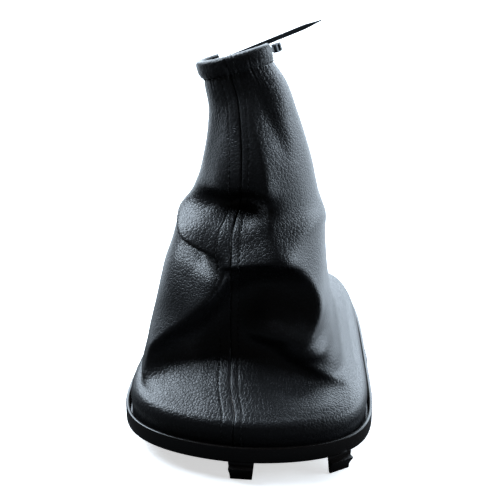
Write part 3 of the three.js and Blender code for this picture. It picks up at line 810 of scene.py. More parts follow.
@dataclass
class LeatherPanel:
    """One half of the gaiter's sheet, from its turned-in edge to the hem's inner end."""

    form: GaiterForm
    name: str
    start: float
    columns: int = 150
    cone_rows: int = 150
    wrap_rows: int = 34
    hem_rows: int = 34
    seam_band: float = 9
    seam_columns: int = 22
    seam_slit: float = 0.02
    beyond: float = 0.4  # how far past its edges the sheet is drawn, for the normals there
    front_row: float = 4.0
    back_row: float = 4.5
    row_depth: float = 0.3
    gather_depth: float = 0.22
    pull_depth: float = 0.55  # how deep the hem's stitches pull the sheet in
    groove: Pair = (0.65, 0.38)  # depth and width of the seam's groove
    stitch: Pair = (0.24, 0.45)  # depth and width of a topstitch's dent
    puff: float = 0.03  # rise of the sheet between the seam and its topstitch
    wave: Triple = (24, 24, 30)  # sizes of the soft waves, and of the short creases
    crease: Triple = (8, 8, 14)
    unevenness: Pair = (0.7, 0.1)  # heights of both
    mouth_reach: tuple[int, int] = (7, 21)  # columns drawn along before and after the mouth's
    mouth_fade: Pair = (0.70, 0.83)  # share of the rows where they start to be drawn, and are
    spare: Pair = (1.02, 1.05)  # what is cut for the seams and for trimming
    flat_area: float = field(default=0.0, init=False)
    lengths: np.ndarray | None = field(default=None, init=False)

    def __post_init__(self) -> None:
        """List the rows of the sheet, each with its kind and two numbers."""
        inset, height = resample(self.wrap_profile(), self.wrap_rows)
        out, up = resample(self.hem_profile(), self.hem_rows)
        up[1 + int(np.argmin(np.abs(up[1:6] - self.form.notch_floor)))] = self.form.notch_floor
        rises = np.linspace(0, 1, self.cone_rows)
        self.kinds = np.repeat(
            ["wrap", "cone", "hem"], [self.wrap_rows - 1, self.cone_rows, self.hem_rows - 1]
        )
        self.first = np.concatenate([inset[:-1], rises, out[1:]])
        self.second = np.concatenate([height[:-1], 0 * rises, up[1:]])

    def wrap_profile(self) -> list[Pair]:
        """Give the inset and height of the sheet from its turned-in edge to the shoulder."""
        f = self.form
        bend = [
            (
                f.sheet_inset + f.wrap_radius * (1 + math.cos(math.radians(a))),
                f.sheet_bottom + f.wrap_radius * (1 + math.sin(math.radians(a))),
            )
            for a in (-90, -112, -135, -158, -180)
        ]
        return [
            (f.sheet_inset + f.allowance, f.sheet_bottom),
            *bend,
            (f.sheet_inset, f.wall_top - 4),
            (f.sheet_inset - 0.3, f.wall_top),
            (f.sheet_inset + 0.6, f.wall_top + 0.5 * f.roll_height),
            (f.sheet_inset + 2.4, f.wall_top + 0.8 * f.roll_height),
            (f.shoulder_inset, f.shoulder_z),
        ]

    def hem_profile(self) -> list[Pair]:
        """Give the offset and height of the hem, up its outside and down its inside."""
        f = self.form
        radius = (f.hem_tunnel + 2 * f.leather) / 2
        crown = [
            (
                f.band_puff - radius + radius * math.cos(math.radians(a)),
                f.band_height - radius + radius * math.sin(math.radians(a)),
            )
            for a in range(0, 181, 20)
        ]
        return [
            (0.0, 0.0),
            (0.5 * f.band_puff, 1.6),
            (f.band_puff, 4.5),
            *crown,
            (f.band_puff - 2 * radius, 4.5),
            (-2 * f.leather - f.clearance, 1.0),
            (-2 * f.leather - 3 * f.clearance, -f.hem_tail),
        ]

    def surface(self, columns: np.ndarray) -> np.ndarray:
        """Give the sheet's outer face.

        Args:
            columns: column of each point, with one row for each row of the sheet.

        Returns:
            The points, in the same layout.
        """
        f = self.form
        points = np.empty((*columns.shape, 3))
        numbers = [np.broadcast_to(n[:, None], columns.shape) for n in (self.first, self.second)]
        for kind, point_at, count in (
            ("wrap", f.frame_point, 2), ("cone", f.folded_point, 1), ("hem", f.neck_point, 2)
        ):
            rows = self.kinds == kind
            points[rows] = point_at(columns[rows], *(n[rows] for n in numbers[:count]))
        return points

    def row_lengths(self) -> np.ndarray:
        """Measure each row of this panel from seam to seam."""
        if self.lengths is None:
            ends = np.linspace(self.start, self.start + 1, 81)
            points = self.surface(np.tile(ends, (len(self.kinds), 1)))
            self.lengths = np.linalg.norm(np.diff(points, axis=1), axis=2).sum(1)
        return self.lengths

    def seam_columns_at(self, lengths: np.ndarray) -> tuple[np.ndarray, np.ndarray]:
        """Lay out columns that stay at fixed distances from the seams along every row.

        Args:
            lengths: length of each row.

        Returns:
            The columns, and each one's distance to its nearer seam in millimetres.
        """
        close = self.seam_band * (np.arange(self.seam_columns) / self.seam_columns) ** 1.15
        middle = self.columns - 2 * self.seam_columns
        shares = np.linspace(0, 1, middle + 2)[:-1]
        span = lengths[:, None]
        left = close[None, :] / span
        band = self.seam_band / span
        centre = band + (1 - 2 * band) * shares[None, :]
        right = 1 - left[:, ::-1]
        local = np.concatenate([left, centre, 1 - band, right], axis=1)
        distance = np.minimum(local, 1 - local) * span
        return self.start + local, distance

    def _fit_mouth(self, columns: np.ndarray) -> tuple[np.ndarray, slice]:
        """Slide columns of the hem so that one lies on this panel's mouth.

        The columns below the hem are drawn along less and less, and over enough of their
        neighbours that none crosses another.

        Args:
            columns: the columns, one row for each row of the sheet.

        Returns:
            The columns, and which of the cells between them lie behind the mouth.
        """
        first, last = self.form.mouths()
        s0, s1 = self.form.neck_seams
        right = self.start < 1
        goal = (first - s0) / (s1 - s0) if right else 1 + (last + 1 - s1) / (s0 + 1 - s1)
        k = int(np.argmin(np.abs(columns[-1] - goal)))
        index = np.arange(columns.shape[1])
        pull = np.clip(1 - np.abs(index - k) / np.where(index < k, *self.mouth_reach), 0, 1)
        fade = smooth_step(*self.mouth_fade, np.arange(len(columns)) / len(columns))[:, None]
        moved = columns + fade * pull[None, :] * (goal - columns[:, k : k + 1])
        return moved, slice(k, None) if right else slice(0, k)

    def build(self, material: bpy.types.Material) -> bpy.types.Object:
        """Make the panel as a closed sheet with its seams sunk and its stitch lines drawn in."""
        f = self.form
        lengths = self.row_lengths()
        columns, distance = self.seam_columns_at(lengths)
        columns, behind = self._fit_mouth(columns)
        step = self.beyond / lengths[:, None]
        past = np.concatenate([columns[:, :1] - step, columns, columns[:, -1:] + step], axis=1)
        wide = self.surface(past)
        normal = grid_normals(wide)[:, 1:-1]
        outer = wide[:, 1:-1]
        self.flat_area = self._area(outer)
        double = 1 - smooth_step(f.seam_allowance, f.seam_allowance + 2, distance)
        cone = self.kinds == "cone"
        rise = np.where(cone, self.first, 1.0)
        double *= (cone * (1 - smooth_step(0.92, 0.97, rise)))[:, None]
        along = np.zeros_like(outer)
        along[:, 0] = outer[:, 1] - outer[:, 0]
        along[:, -1] = outer[:, -2] - outer[:, -1]
        along = unit(along) * self.seam_slit
        inner = outer - normal * (f.leather * (1 + double))[..., None] + along
        relief = self._seam_relief(columns, distance) + self._gathers(columns, rise)
        relief += self._wrinkles(outer)
        outer = outer + normal * relief[..., None] + along
        keep = np.ones((columns.shape[0] - 1, columns.shape[1] - 1), bool)
        notch = int(np.argmax((self.kinds == "hem") & (self.second > f.notch_floor)))
        keep[notch:, behind] = False
        return self._thick_sheet(outer, inner, keep, material)

    def flat_size(self) -> Pair:
        """Give the width and length, in metres, of the rectangle that the panel is cut from."""
        width = float(self.row_lengths().max())
        rows = self.surface(np.full((len(self.kinds), 1), self.start + 0.5))[:, 0]
        length = float(np.linalg.norm(np.diff(rows, axis=0), axis=1).sum())
        return width * MM * self.spare[0], length * MM * self.spare[1]

    @staticmethod
    def _area(grid: np.ndarray) -> float:
        """Measure a grid's area in square millimetres."""
        a = np.cross(grid[1:, 1:] - grid[:-1, :-1], grid[1:, :-1] - grid[:-1, 1:])
        return float(np.linalg.norm(a, axis=2).sum() / 2)

    def _seam_relief(self, columns: np.ndarray, distance: np.ndarray) -> np.ndarray:
        """Work out how far the seams and stitch rows move the outer face in or out."""
        near_front = np.abs(np.mod(columns + 1, 2) - 1) < 0.5
        row = np.where(near_front, self.front_row, self.back_row)
        groove = -self.groove[0] * np.exp(-np.abs(distance / self.groove[1]) ** 1.3)
        stitch = -self.stitch[0] * np.exp(-(((distance - row) / self.stitch[1]) ** 2))
        puff = self.puff * np.exp(-(((distance - row / 2) / (0.3 * row)) ** 2))
        return groove + stitch + puff

    def _gathers(self, columns: np.ndarray, rise: np.ndarray) -> np.ndarray:
        """Pleat the sheet under and over the hem's stitch line, most of all beside the seam."""
        f, kinds, up = self.form, self.kinds, self.second
        below = (kinds == "cone") * np.exp(-(1 - rise) * f.neck_rise / 8)
        above = (kinds == "hem") * np.exp(-np.maximum(up, 0) / 6)
        reach = (below + 0.8 * above)[:, None]
        at = f.share(f.neck_seams, columns) * f.neck_loop.length
        away = np.abs(at - f.neck_loop.length * np.round(at / f.neck_loop.length))
        pull = 0.35 + 0.65 * np.exp(-((away / 11) ** 2))
        wave = np.sin(at * 2.9) + 0.7 * np.sin(at * 4.3 + 1.3) + 0.6 * np.sin(at * 1.3 + 0.4)
        wave *= pull * (0.6 + 0.4 * np.sin(at * 0.7 + 1))
        rows = np.where(kinds == "cone", (rise - 1) * f.neck_rise, up)[:, None]
        pulled = -self.pull_depth * np.exp(-(((rows - HEM_STITCH) / 0.55) ** 2))
        pulled = pulled * (kinds != "wrap")[:, None]
        return self.gather_depth * wave * reach + pulled

    def _wrinkles(self, points: np.ndarray) -> np.ndarray:
        """Give the sheet its slight unevenness, from soft waves down to short creases."""
        flat = points.reshape(-1, 3)
        soft, short = self.unevenness
        values = [
            soft * noise.noise(Vector(a)) + short * noise.noise(Vector(b))
            for a, b in zip(flat / self.wave, flat / self.crease + (0, 7, 0))
        ]
        calm = np.where(self.kinds == "cone", 1.0, 0.25)[:, None]
        return np.array(values).reshape(points.shape[:2]) * calm

    def _thick_sheet(
        self,
        outer: np.ndarray,
        inner: np.ndarray,
        keep: np.ndarray,
        material: bpy.types.Material,
    ) -> bpy.types.Object:
        """Close two faces of a sheet into one body.

        Args:
            outer: grid of the outer face.
            inner: grid of the inner face.
            keep: which cells of the grid stay.
            material: its finish.

        Returns:
            The panel's object.
        """
        rows, columns = keep.shape
        width = columns + 1
        offset = outer.shape[0] * width
        r, c = np.nonzero(keep)
        a = r * width + c
        front = np.stack([a, a + 1, a + width + 1, a + width], 1)
        back = np.stack([a, a + width, a + width + 1, a + 1], 1) + offset
        padded = np.pad(keep, 1)
        walls = []
        sides = (
            ((-1, 0), 0, 1), ((0, 1), 1, width + 1), ((1, 0), width + 1, width),
            ((0, -1), width, 0),
        )
        for (dr, dc), p, q in sides:
            bare = ~padded[r + 1 + dr, c + 1 + dc]
            start, end = a[bare] + p, a[bare] + q
            walls.append(np.stack([end, start, start + offset, end + offset], 1))
        faces = np.concatenate([front, back, *walls])
        points = np.concatenate([outer.reshape(-1, 3), inner.reshape(-1, 3)])
        used, index = np.unique(faces, return_inverse=True)
        return mesh_object(
            self.name, points[used], index.reshape(faces.shape), material,
            flat_from=len(front) + len(back),
        )


def stitch_line(
    panel: LeatherPanel, end: float, distance: float, depth: float
) -> tuple[np.ndarray, np.ndarray]:
    """Trace a line at a distance from one of a panel's seams, up the whole of its outer face.

    Args:
        panel: the panel.
        end: 0 for the seam at its first column, 1 for the one at its last.
        distance: how far from the seam, in millimetres.
        depth: how deep the line is sunk.

    Returns:
        The points, and the outward normals there.
    """
    share = distance / panel.row_lengths()
    middle = panel.start + (share if end == 0 else 1 - share)
    grid = panel.surface(middle[:, None] + np.array([-0.004, 0.0, 0.004])[None, :])
    normal = grid_normals(grid)[:, 1]
    low = int(np.argmax(panel.second > panel.form.flange_top + 4))
    over = panel.second > panel.form.band_height - 0.4
    high = int(np.argmax((panel.kinds == "hem") & over))
    return (grid[:, 1] - normal * depth)[low:high], normal[low:high]


def hem_line(form: GaiterForm) -> tuple[np.ndarray, np.ndarray]:
    """Trace the hem's stitch line round the neck.

    Args:
        form: the gaiter's form.

    Returns:
        The points, and the outward normals there.
    """
    column = np.linspace(0, 2, 361)
    line = form.neck_point(column, 0.0, HEM_STITCH)
    out = form.neck_point(column, 1.0, HEM_STITCH) - line
    return line - out * HEM_SINK, out


@dataclass
class StitchRow:
    """A row of lockstitches along a line on the sheet."""

    name: str
    pitch: float = 3.3
    length: float = 2.5
    thickness: float = 0.55
    sides: int = 8
    rings: int = 7

    def build(
        self, line: np.ndarray, normals: np.ndarray, material: bpy.types.Material
    ) -> bpy.types.Object:
        """Sew the row.

        Args:
            line: points along the stitch line, on the sheet.
            normals: the sheet's outward normals there.
            material: the thread's finish.

        Returns:
            The row's object.
        """
        walked = walk(line)
        count = int((walked[-1] - self.pitch / 2) / self.pitch)
        points, faces = [], []
        for k in range(count):
            start = self.pitch * (k + 0.5)
            at = start + np.linspace(0, self.length, self.rings)
            middle = np.stack([np.interp(at, walked, values) for values in line.T], 1)
            up = unit(np.stack([np.interp(at, walked, values) for values in normals.T], 1))
            side = np.cross(unit(np.gradient(middle, axis=0)), up)
            t = np.linspace(-1, 1, self.rings)
            lift = self.thickness * (0.32 - 0.75 * t**4)
            radius = self.thickness / 2 * np.sqrt(np.clip(1.02 - t**6 * 0.55, 0, 1))
            base = len(points)
            for j in range(self.rings):
                for s in range(self.sides):
                    angle = 2 * math.pi * s / self.sides
                    ring = math.cos(angle) * side[j] + math.sin(angle) * up[j]
                    points.append(middle[j] + up[j] * lift[j] + ring * radius[j])
            for j in range(self.rings - 1):
                for s in range(self.sides):
                    n = (s + 1) % self.sides
                    p, q = base + j * self.sides, base + (j + 1) * self.sides
                    faces.append((p + s, q + s, q + n, p + n))
            faces.append(tuple(base + s for s in range(self.sides)))
            last = base + (self.rings - 1) * self.sides
            faces.append(tuple(last + s for s in reversed(range(self.sides))))
        return mesh_object(self.name, np.array(points), faces, material)


def rounded(corners: Sequence[Pair], radius: float, steps: int = 4) -> np.ndarray:
    """Round the corners of a closed flat profile.

    Args:
        corners: the profile's corners in order.
        radius: radius of each rounding, less where a side is short.
        steps: points in each rounding.

    Returns:
        The rounded profile's points.
    """
    table = np.array(corners, float)
    points = []
    for k, corner in enumerate(table):
        before, after = table[k - 1] - corner, table[(k + 1) % len(table)] - corner
        cut = min(radius, 0.45 * np.linalg.norm(before), 0.45 * np.linalg.norm(after))
        a = corner + before / np.linalg.norm(before) * cut
        b = corner + after / np.linalg.norm(after) * cut
        for s in np.linspace(0, 1, steps):
            points.append((1 - s) ** 2 * a + 2 * s * (1 - s) * corner + s**2 * b)
    return np.array(points)


class Body:
    """Points and faces of a piece that is put together from closed lofts."""

    SHARP = math.radians(38)  # edges that turn by more than this stay sharp

    def __init__(self) -> None:
        """Start with nothing."""
        self.points: list[np.ndarray] = []
        self.faces: list[tuple[int, ...]] = []
        self.count = 0

    def loft(self, rings: np.ndarray, closed: bool = False) -> None:
        """Add a skin through rings of points, with its ends capped unless it is closed.

        Args:
            rings: array of rings, each with the same number of points.
            closed: whether the last ring joins the first.
        """
        number, size = rings.shape[:2]
        faces = []
        for r in range(number if closed else number - 1):
            n = (r + 1) % number
            for c in range(size):
                d = (c + 1) % size
                faces.append((r * size + c, r * size + d, n * size + d, n * size + c))
        if not closed:
            faces.append(tuple(reversed(range(size))))
            faces.append(tuple((number - 1) * size + c for c in range(size)))
        points = rings.reshape(-1, 3)
        volume = 0.0
        for face in faces:
            for k in range(1, len(face) - 1):
                a, b, c = points[face[0]], points[face[k]], points[face[k + 1]]
                volume += float(a @ np.cross(b, c))
        if volume < 0:
            faces = [tuple(reversed(face)) for face in faces]
        self.faces += [tuple(i + self.count for i in face) for face in faces]
        self.points.append(points)
        self.count += len(points)

    def build(self, name: str, material: bpy.types.Material) -> bpy.types.Object:
        """Make the piece, with its flat sides kept flat by the edges' angles."""
        obj = mesh_object(name, np.concatenate(self.points), self.faces, material)
        obj.data.set_sharp_from_angle(angle=self.SHARP)
        return obj


@dataclass
class OuterFrame:
    """The frame moulding: rim, floor flange, snap clips and the stakes for the carrier ring."""

    form: GaiterForm
    columns: int = 720
    clip_width: float = 13.5
    clip_narrowing: float = 0.16
    clip_thickness: float = 1.3
    clip_set_in: float = 0.3
    clip_edge: tuple[Pair, ...] = ((0, 0.35), (0.12, 0.12), (0.4, 0))  # inset and shrinking
    stake: tuple[Pair, ...] = ((2.4, 0.3), (2.5, 0.5), (2.3, 1.0), (1.6, 1.4), (0.6, 1.5))
    stake_radius: float = 1.5
    barb_out: float = 2.8
    barb_ledge: float = 2.2
    barb_height: float = 6
    clip_turns: tuple[float, ...] = (0.0, 0.103, 0.3, 0.5, 0.7)
    stake_turns: tuple[float, ...] = (0.05, 0.18, 0.31, 0.44, 0.56, 0.69, 0.82, 0.95)
    ring_width: float = 7
    ring_thickness: float = 3
    edge: float = 0.7

    def _rim(self, body: Body) -> None:
        """Sweep the rim and its flange round the outline."""
        f = self.form
        top = f.clip_reach + f.rim_height
        profile = rounded(
            [
                (0, f.clip_reach), (0, top), (f.rim_thickness, top),
                (f.rim_thickness, f.flange_top), (f.flange_width, f.flange_top),
                (f.flange_width, f.clip_reach),
            ],
            self.edge,
        )
        share = np.arange(self.columns) / self.columns
        rings = []
        for inset, z in profile:
            flat = f.frame_loop.inset(share, inset + 0 * share)
            rings.append(np.concatenate([flat, np.full((self.columns, 1), z)], 1))
        body.loft(np.array(rings), closed=True)

    def _place(self, local: np.ndarray, share: float, inset: float) -> np.ndarray:
        """Stand local points, drawn with +X outward, on the outline."""
        f = self.form
        at = np.array([share])
        place = f.frame_loop.inset(at, np.array([inset]))[0]
        out = f.frame_loop.outward(at)[0]
        x = place[0] + local[..., 0] * out[0] - local[..., 1] * out[1]
        y = place[1] + local[..., 0] * out[1] + local[..., 1] * out[0]
        return np.stack([x, y, local[..., 2]], -1)

    def _clip(self, body: Body, share: float) -> None:
        """Add one snap clip: a narrowing tongue with a wedge-shaped barb."""
        f = self.form
        ledge = f.clip_reach - self.barb_ledge
        top = f.clip_reach + 0.5
        profile = rounded(
            [
                (0, top), (-self.clip_thickness, top), (-self.clip_thickness, 0), (0, 0),
                (0, ledge - self.barb_height), (self.barb_out, ledge - 0.5),
                (self.barb_out, ledge), (0, ledge),
            ],
            0.35,
            3,
        )
        half = self.clip_width / 2
        middle = np.array([-self.clip_thickness / 2, ledge / 2])
        rings = []
        near = [(-half + inset, shrink) for inset, shrink in self.clip_edge]
        far = [(half - inset, shrink) for inset, shrink in reversed(self.clip_edge)]
        for y, shrink in near + far:
            inward = middle - profile
            inward /= np.maximum(np.linalg.norm(inward, axis=1, keepdims=True), 1e-6)
            ring = profile + inward * shrink
            taper = 1 - self.clip_narrowing * (1 - np.clip(ring[:, 1] / top, 0, 1))
            local = np.stack([ring[:, 0], y * taper, ring[:, 1]], 1)
            rings.append(self._place(local, share, self.clip_set_in))
        body.loft(np.array(rings))

    def _stake(self, body: Body, share: float) -> None:
        """Add one heat-staked pin with its domed head."""
        f = self.form
        ring_top = f.ring_bottom + self.ring_thickness
        turn = np.linspace(0, 2 * np.pi, 24, endpoint=False)
        rings = []
        inset = f.sheet_inset + f.leather + f.clearance + self.ring_width / 2
        dome = [(radius, ring_top + up) for radius, up in self.stake]
        pin = [(self.stake_radius, f.flange_top - 0.4), (self.stake_radius, dome[0][1])]
        for radius, z in pin + dome:
            local = np.stack([radius * np.cos(turn), radius * np.sin(turn), z + 0 * turn], 1)
            rings.append(self._place(local, share, inset))
        body.loft(np.array(rings))

    def build(self, material: bpy.types.Material) -> bpy.types.Object:
        """Make the frame."""
        body = Body()
        self._rim(body)
        for share in self.clip_turns:
            self._clip(body, share)
        for share in self.stake_turns:
            self._stake(body, share)
        return body.build("frame_moulding", material)


@dataclass
class CableTie:
    """A nylon cable tie: its strap runs in the hem, its head and pointed tail stand free."""

    form: GaiterForm
    width: float = 2.5
    thickness: float = 1
    height: float = 5.8
    head: Triple = (4.4, 3.4, 4.6)
    slot: Pair = (1.4, 2.9)
    stub: float = 5
    stub_turn: float = 57
    tail: float = 57
    tail_lift: float = 7
    point: float = 11
    rib_pitch: float = 1.1
    rib_depth: float = 0.16
    rib_reach: float = 36
    corner: float = 0.4  # how round the strap's corners are, as in squarish
    head_corner: float = 0.3
    sides: int = 20
    step: float = 0.18

    def _path(self) -> np.ndarray:
        """Give the strap's middle line in the collar plane."""
        loop = self.form.neck_loop
        around = np.linspace(*self.form.mouths(), 120)
        inside = loop.inset(around, -self.form.tunnel + 0 * around)
        lead = math.radians(self.stub_turn)
        reach = np.array([math.cos(lead), math.sin(lead)]) * self.stub
        out = inside[0] + reach * np.linspace(1, 0, 8, endpoint=False)[:, None]
        return np.concatenate([out, inside])

    def _strap(self, body: Body, path: np.ndarray) -> None:
        """Sweep the strap along its path."""
        along = unit(np.gradient(path, axis=0))
        side = np.stack([-along[:, 1], along[:, 0]], 1)
        section = squarish(self.thickness / 2, self.width / 2, self.corner, self.sides)
        rings = [
            np.concatenate([p + section[:, :1] * s, self.height + section[:, 1:]], 1)
            for p, s in zip(path, side)
        ]
        body.loft(self.form.to_world(np.array(rings)))

    def _tail(self, body: Body, start: np.ndarray) -> None:
        """Sweep the ribbed tail to its point."""
        lift = math.radians(self.tail_lift)
        rings = []
        for x in np.arange(0, self.tail, self.step):
            ribbed = smooth_step(2, 4, x) * smooth_step(self.rib_reach, self.rib_reach - 2, x)
            wave = np.clip(math.sin(2 * math.pi * x / self.rib_pitch) * 1.6, -1, 1)
            thick = self.thickness / 2 - self.rib_depth * float(ribbed) * (0.5 - 0.5 * wave)
            left = self.tail - x
            narrow = 1 - 0.7 * smooth_step(self.point, 0, left)
            tip = math.sqrt(min(1.0, left / 1.2))
            wide = self.width / 2 * float(narrow) * tip
            thin, broad = squarish(thick * tip, wide, self.corner, self.sides).T
            along = x - self.thickness
            forward = start[0] + along * math.cos(lift) - broad * math.sin(lift)
            high = self.height + along * math.sin(lift) + broad * math.cos(lift)
            ring = np.stack([forward, start[1] + thin, high], 1)
            rings.append(ring)
        body.loft(self.form.to_world(np.array(rings)))

    def _head(self, body: Body, path: np.ndarray) -> None:
        """Add the head: a rounded block with the slot for the strap through it."""
        lead = unit(path[0] - path[1])
        side = np.array([-lead[1], lead[0]])
        centre = path[0] + lead * (self.head[0] / 2 - 0.5)
        a, h = self.head[0] / 2, self.head[2] / 2
        sa, sh = self.slot[0] / 2, self.slot[1] / 2
        w = self.head[1] / 2
        loops = [
            (a - 0.5, h - 0.5, -w), (a - 0.15, h - 0.15, -w + 0.15), (a, h, -w + 0.5),
            (a, h, w - 0.5), (a - 0.15, h - 0.15, w - 0.15), (a - 0.5, h - 0.5, w),
            (sa + 0.2, sh + 0.2, w), (sa, sh, w - 0.3), (sa, sh, -w + 0.3),
            (sa + 0.2, sh + 0.2, -w),
        ]
        rings = []
        for along, high, across in loops:
            loop = squarish(along, high, self.head_corner, 48)
            flat = centre + loop[:, :1] * lead + across * side
            rings.append(np.concatenate([flat, self.height + loop[:, 1:]], 1))
        body.loft(self.form.to_world(np.array(rings)), closed=True)

    def build(self, material: bpy.types.Material) -> bpy.types.Object:
        """Make the tie."""
        body = Body()
        path = self._path()
        self._strap(body, path)
        self._tail(body, path[-1])
        self._head(body, path)
        return body.build("nylon_cable_tie", material)


@dataclass(frozen=True)
class SoftBox:
    """One soft lamp: its place and size in metres, and its power in watts."""

    name: str
    place: Triple
    size: Pair
    power: float
    aim: Triple = (0.0, 0.0, 0.09)
    colour: Triple = (0.76, 0.88, 1.0)


@dataclass
class Studio:
    """Pale floor, plain soft lights and the camera at the photograph's angle."""

    target: Triple = (-1.28, -24.57, 102.3)
    yaw: float = 5.40
    pitch: float = 29.94
    roll: float = 0.20
    distance: float = 700.0
    lens: float = 97.98
    ambient: float = 0.03
    floor_size: float = 3000.0
    floor_drop: float = 0.05
    floor_glow: float = 0.6
    # Painted light and shade in the floor's colour, as the part sees it:
    floor_left: float = -0.2  # how much of its distance a place on the left counts for
    floor_reach: Pair = (0.02, 0.34)  # metres from the part where its light begins, and is full
    floor_light: Pair = (0.03, 0.8)  # how pale the part sees the floor at both
    boxes: tuple[SoftBox, ...] = (
        SoftBox("soft_box_back", (0.0, 1.5, 0.8), (2.6, 1.4), 96),
        SoftBox("soft_box_right", (1.35, 0.45, 0.6), (1.8, 1.0), 46),
        SoftBox("soft_box_left", (-1.05, 0.4, 1.25), (1.0, 0.9), 50),
        SoftBox("soft_box_top", (0.0, 0.75, 1.4), (1.2, 0.5), 14),
    )

    def camera(self) -> None:
        """Place the camera."""
        a, e = math.radians(self.yaw), math.radians(self.pitch)
        back = Vector((math.sin(a) * math.cos(e), -math.cos(a) * math.cos(e), math.sin(e)))
        right = (-back).cross(Vector((0, 0, 1))).normalized()
        up = right.cross(-back)
        tilt = math.radians(self.roll)
        right, up = (
            right * math.cos(tilt) + up * math.sin(tilt),
            up * math.cos(tilt) - right * math.sin(tilt),
        )
        data = bpy.data.cameras.new("camera")
        data.lens = self.lens
        data.sensor_width = 36.0
        data.clip_end = 10.0
        camera = bpy.data.objects.new("camera", data)
        place = Matrix((right, up, back)).transposed().to_4x4()
        place.translation = (Vector(self.target) + back * self.distance) * MM
        camera.matrix_world = place
        bpy.context.scene.collection.objects.link(camera)
        bpy.context.scene.camera = camera

    def world(self) -> None:
        """Light the room faintly, and show plain white to the camera."""
        world = bpy.data.worlds.new("studio")
        world.use_nodes = True
        tree = world.node_tree
        tree.nodes.clear()
        path = add_node(tree, "LightPath")
        room, plain = (
            add_node(tree, "Background", {"Color": (1, 1, 1, 1), "Strength": strength})
            for strength in (self.ambient, 1.0)
        )
        mix = add_node(
            tree, "MixShader",
            {0: path.outputs["Is Camera Ray"], 1: room.outputs[0], 2: plain.outputs[0]},
        )
        add_node(tree, "OutputWorld", {"Surface": mix.outputs[0]})
        bpy.context.scene.world = world

    def lamp(self, box: SoftBox) -> None:
        """Hang a soft box that faces the gaiter.

        Args:
            box: the soft box.
        """
        data = bpy.data.lights.new(box.name, "AREA")
        data.shape = "RECTANGLE"
        data.size, data.size_y = box.size
        data.energy = box.power
        data.color = box.colour
        lamp = bpy.data.objects.new(box.name, data)
        lamp.location = box.place
        aim = Vector(box.aim) - Vector(box.place)
        lamp.rotation_euler = aim.to_track_quat("-Z", "Y").to_euler()
        bpy.context.scene.collection.objects.link(lamp)

    def floor(self) -> None:
        """Lay the pale floor, with painted light and shade in its colour, so that it throws
        little light back at the part's front.
        """
        material = bpy.data.materials.new("pale_floor")
        material.use_nodes = True
        tree = material.node_tree
        tree.nodes.clear()
        path = add_node(tree, "LightPath")
        where = add_node(tree, "TexCoord").outputs["Object"]
        place = add_node(tree, "SeparateXYZ", {"Vector": where})
        x, y = place.outputs["X"], place.outputs["Y"]
        # Painted light and shade: to every ray but the camera's, the floor is dark near the part,
        # in front of it and to its left, and pale behind it and to its right.
        left = add_node(tree, "Math", {0: x, 1: self.floor_left}, operation="MULTIPLY")
        aside = add_node(tree, "Math", {0: x, 1: left.outputs[0]}, operation="MAXIMUM")
        reach = add_node(tree, "Math", {0: aside.outputs[0], 1: y}, operation="ADD")
        (near, far), (dark, pale) = self.floor_reach, self.floor_light
        share = add_node(
            tree, "MapRange",
            {
                "Value": reach.outputs[0], "From Min": near, "From Max": far,
                "To Min": dark, "To Max": pale,
            },
            interpolation_type="SMOOTHSTEP",
        )
        painted_floor_light = add_node(tree, "BsdfDiffuse", {"Color": share.outputs[0]})
        paint = add_node(tree, "BsdfDiffuse", {"Color": (0.85, 0.85, 0.85, 1)})
        glow = add_node(tree, "Emission", {"Color": (1, 1, 1, 1), "Strength": self.floor_glow})
        both = add_node(tree, "AddShader", {0: paint.outputs[0], 1: glow.outputs[0]})
        mix = add_node(
            tree, "MixShader",
            {0: path.outputs["Is Camera Ray"], 1: painted_floor_light.outputs[0], 2: both.outputs[0]},
        )
        add_node(tree, "OutputMaterial", {"Surface": mix.outputs[0]})
        s, z = self.floor_size, -self.floor_drop
        corners = np.array([(-s, -s, z), (s, -s, z), (s, s, z), (-s, s, z)])
        mesh_object("floor", corners, [(0, 1, 2, 3)], material)

    def build(self) -> None:
        """Set the whole studio up."""
        self.camera()
        self.world()
        self.floor()
        for box in self.boxes:
            self.lamp(box)
        bpy.context.scene.view_settings.view_transform = "Standard"


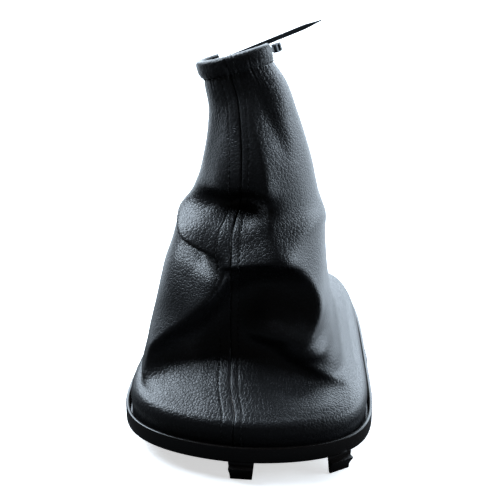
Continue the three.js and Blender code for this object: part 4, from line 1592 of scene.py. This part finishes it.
def ride(obj: bpy.types.Object, replaced: str | None = None) -> None:
    """Fix a piece to the part and log it.

    Args:
        obj: the piece.
        replaced: the CAD node that it takes the place of, if any.
    """
    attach(obj, "root")
    if replaced:
        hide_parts(replaced)
    LOG.info("%s: %d faces", obj.name, len(obj.data.polygons))


def sew(panels: Sequence[LeatherPanel], form: GaiterForm, thread: bpy.types.Material) -> None:
    """Sew the topstitching beside both seams and the hem's row.

    Args:
        panels: the right and the left panel.
        form: the gaiter's form.
        thread: the thread's finish.
    """
    ends = {"right": ("front", "back"), "left": ("back", "front")}
    for panel, (side, places) in zip(panels, ends.items()):
        for end, place in enumerate(places):
            distance = panel.front_row if place == "front" else panel.back_row
            row = StitchRow(f"{place}_seam_{side}_stitches")
            line, normal = stitch_line(panel, end, distance, panel.row_depth)
            ride(row.build(line, normal, thread))
    line, normal = hem_line(form)
    ride(StitchRow("hem_stitches").build(line, normal, thread))


def main() -> None:
    """Build the gaiter and its studio, piece by piece."""
    logging.basicConfig(level=logging.INFO, format="%(message)s")
    Studio().build()
    form = GaiterForm()
    # Leatherette: small soft glints on the folds' crests over a near-black body.
    leather = Leatherette().build()
    # Polyester thread: dull, darker than the leatherette, so that the rows read as dashes.
    thread = SewingThread().build()
    panels = [
        LeatherPanel(form, "panel_right", 0.0),
        LeatherPanel(form, "panel_left", 1.0, front_row=6.0),
    ]
    for panel, node in zip(panels, ("right_panel", "left_panel")):
        obj = panel.build(leather)
        ride(obj, node)
        panel.flat_size()
    sew(panels, form, thread)
    # Satin polypropylene: a near-black body with a clear, narrow sheen along the rim.
    satin = MouldedPlastic("satin_moulded_pp", "#120f0e", Gloss.SATIN).build()
    ride(OuterFrame(form).build(satin), "outer_frame")
    # Nylon: a greyer black that shows the tie's rungs and tail against the pale ground.
    nylon = MouldedPlastic("moulded_nylon", "#34373b", Gloss.SPARK_ETCHED, ior=1.53).build()
    ride(CableTie(form).build(nylon), "cable_tie")
    # Spark-etched polypropylene: the hidden ring stays matt and plain.
    matt = MouldedPlastic("spark_etched_pp", "#161616", Gloss.SPARK_ETCHED).build()
    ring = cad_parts["carrier_ring"]
    for slot in ring.material_slots:
        slot.material = matt


if __name__ == "__main__":
    main()
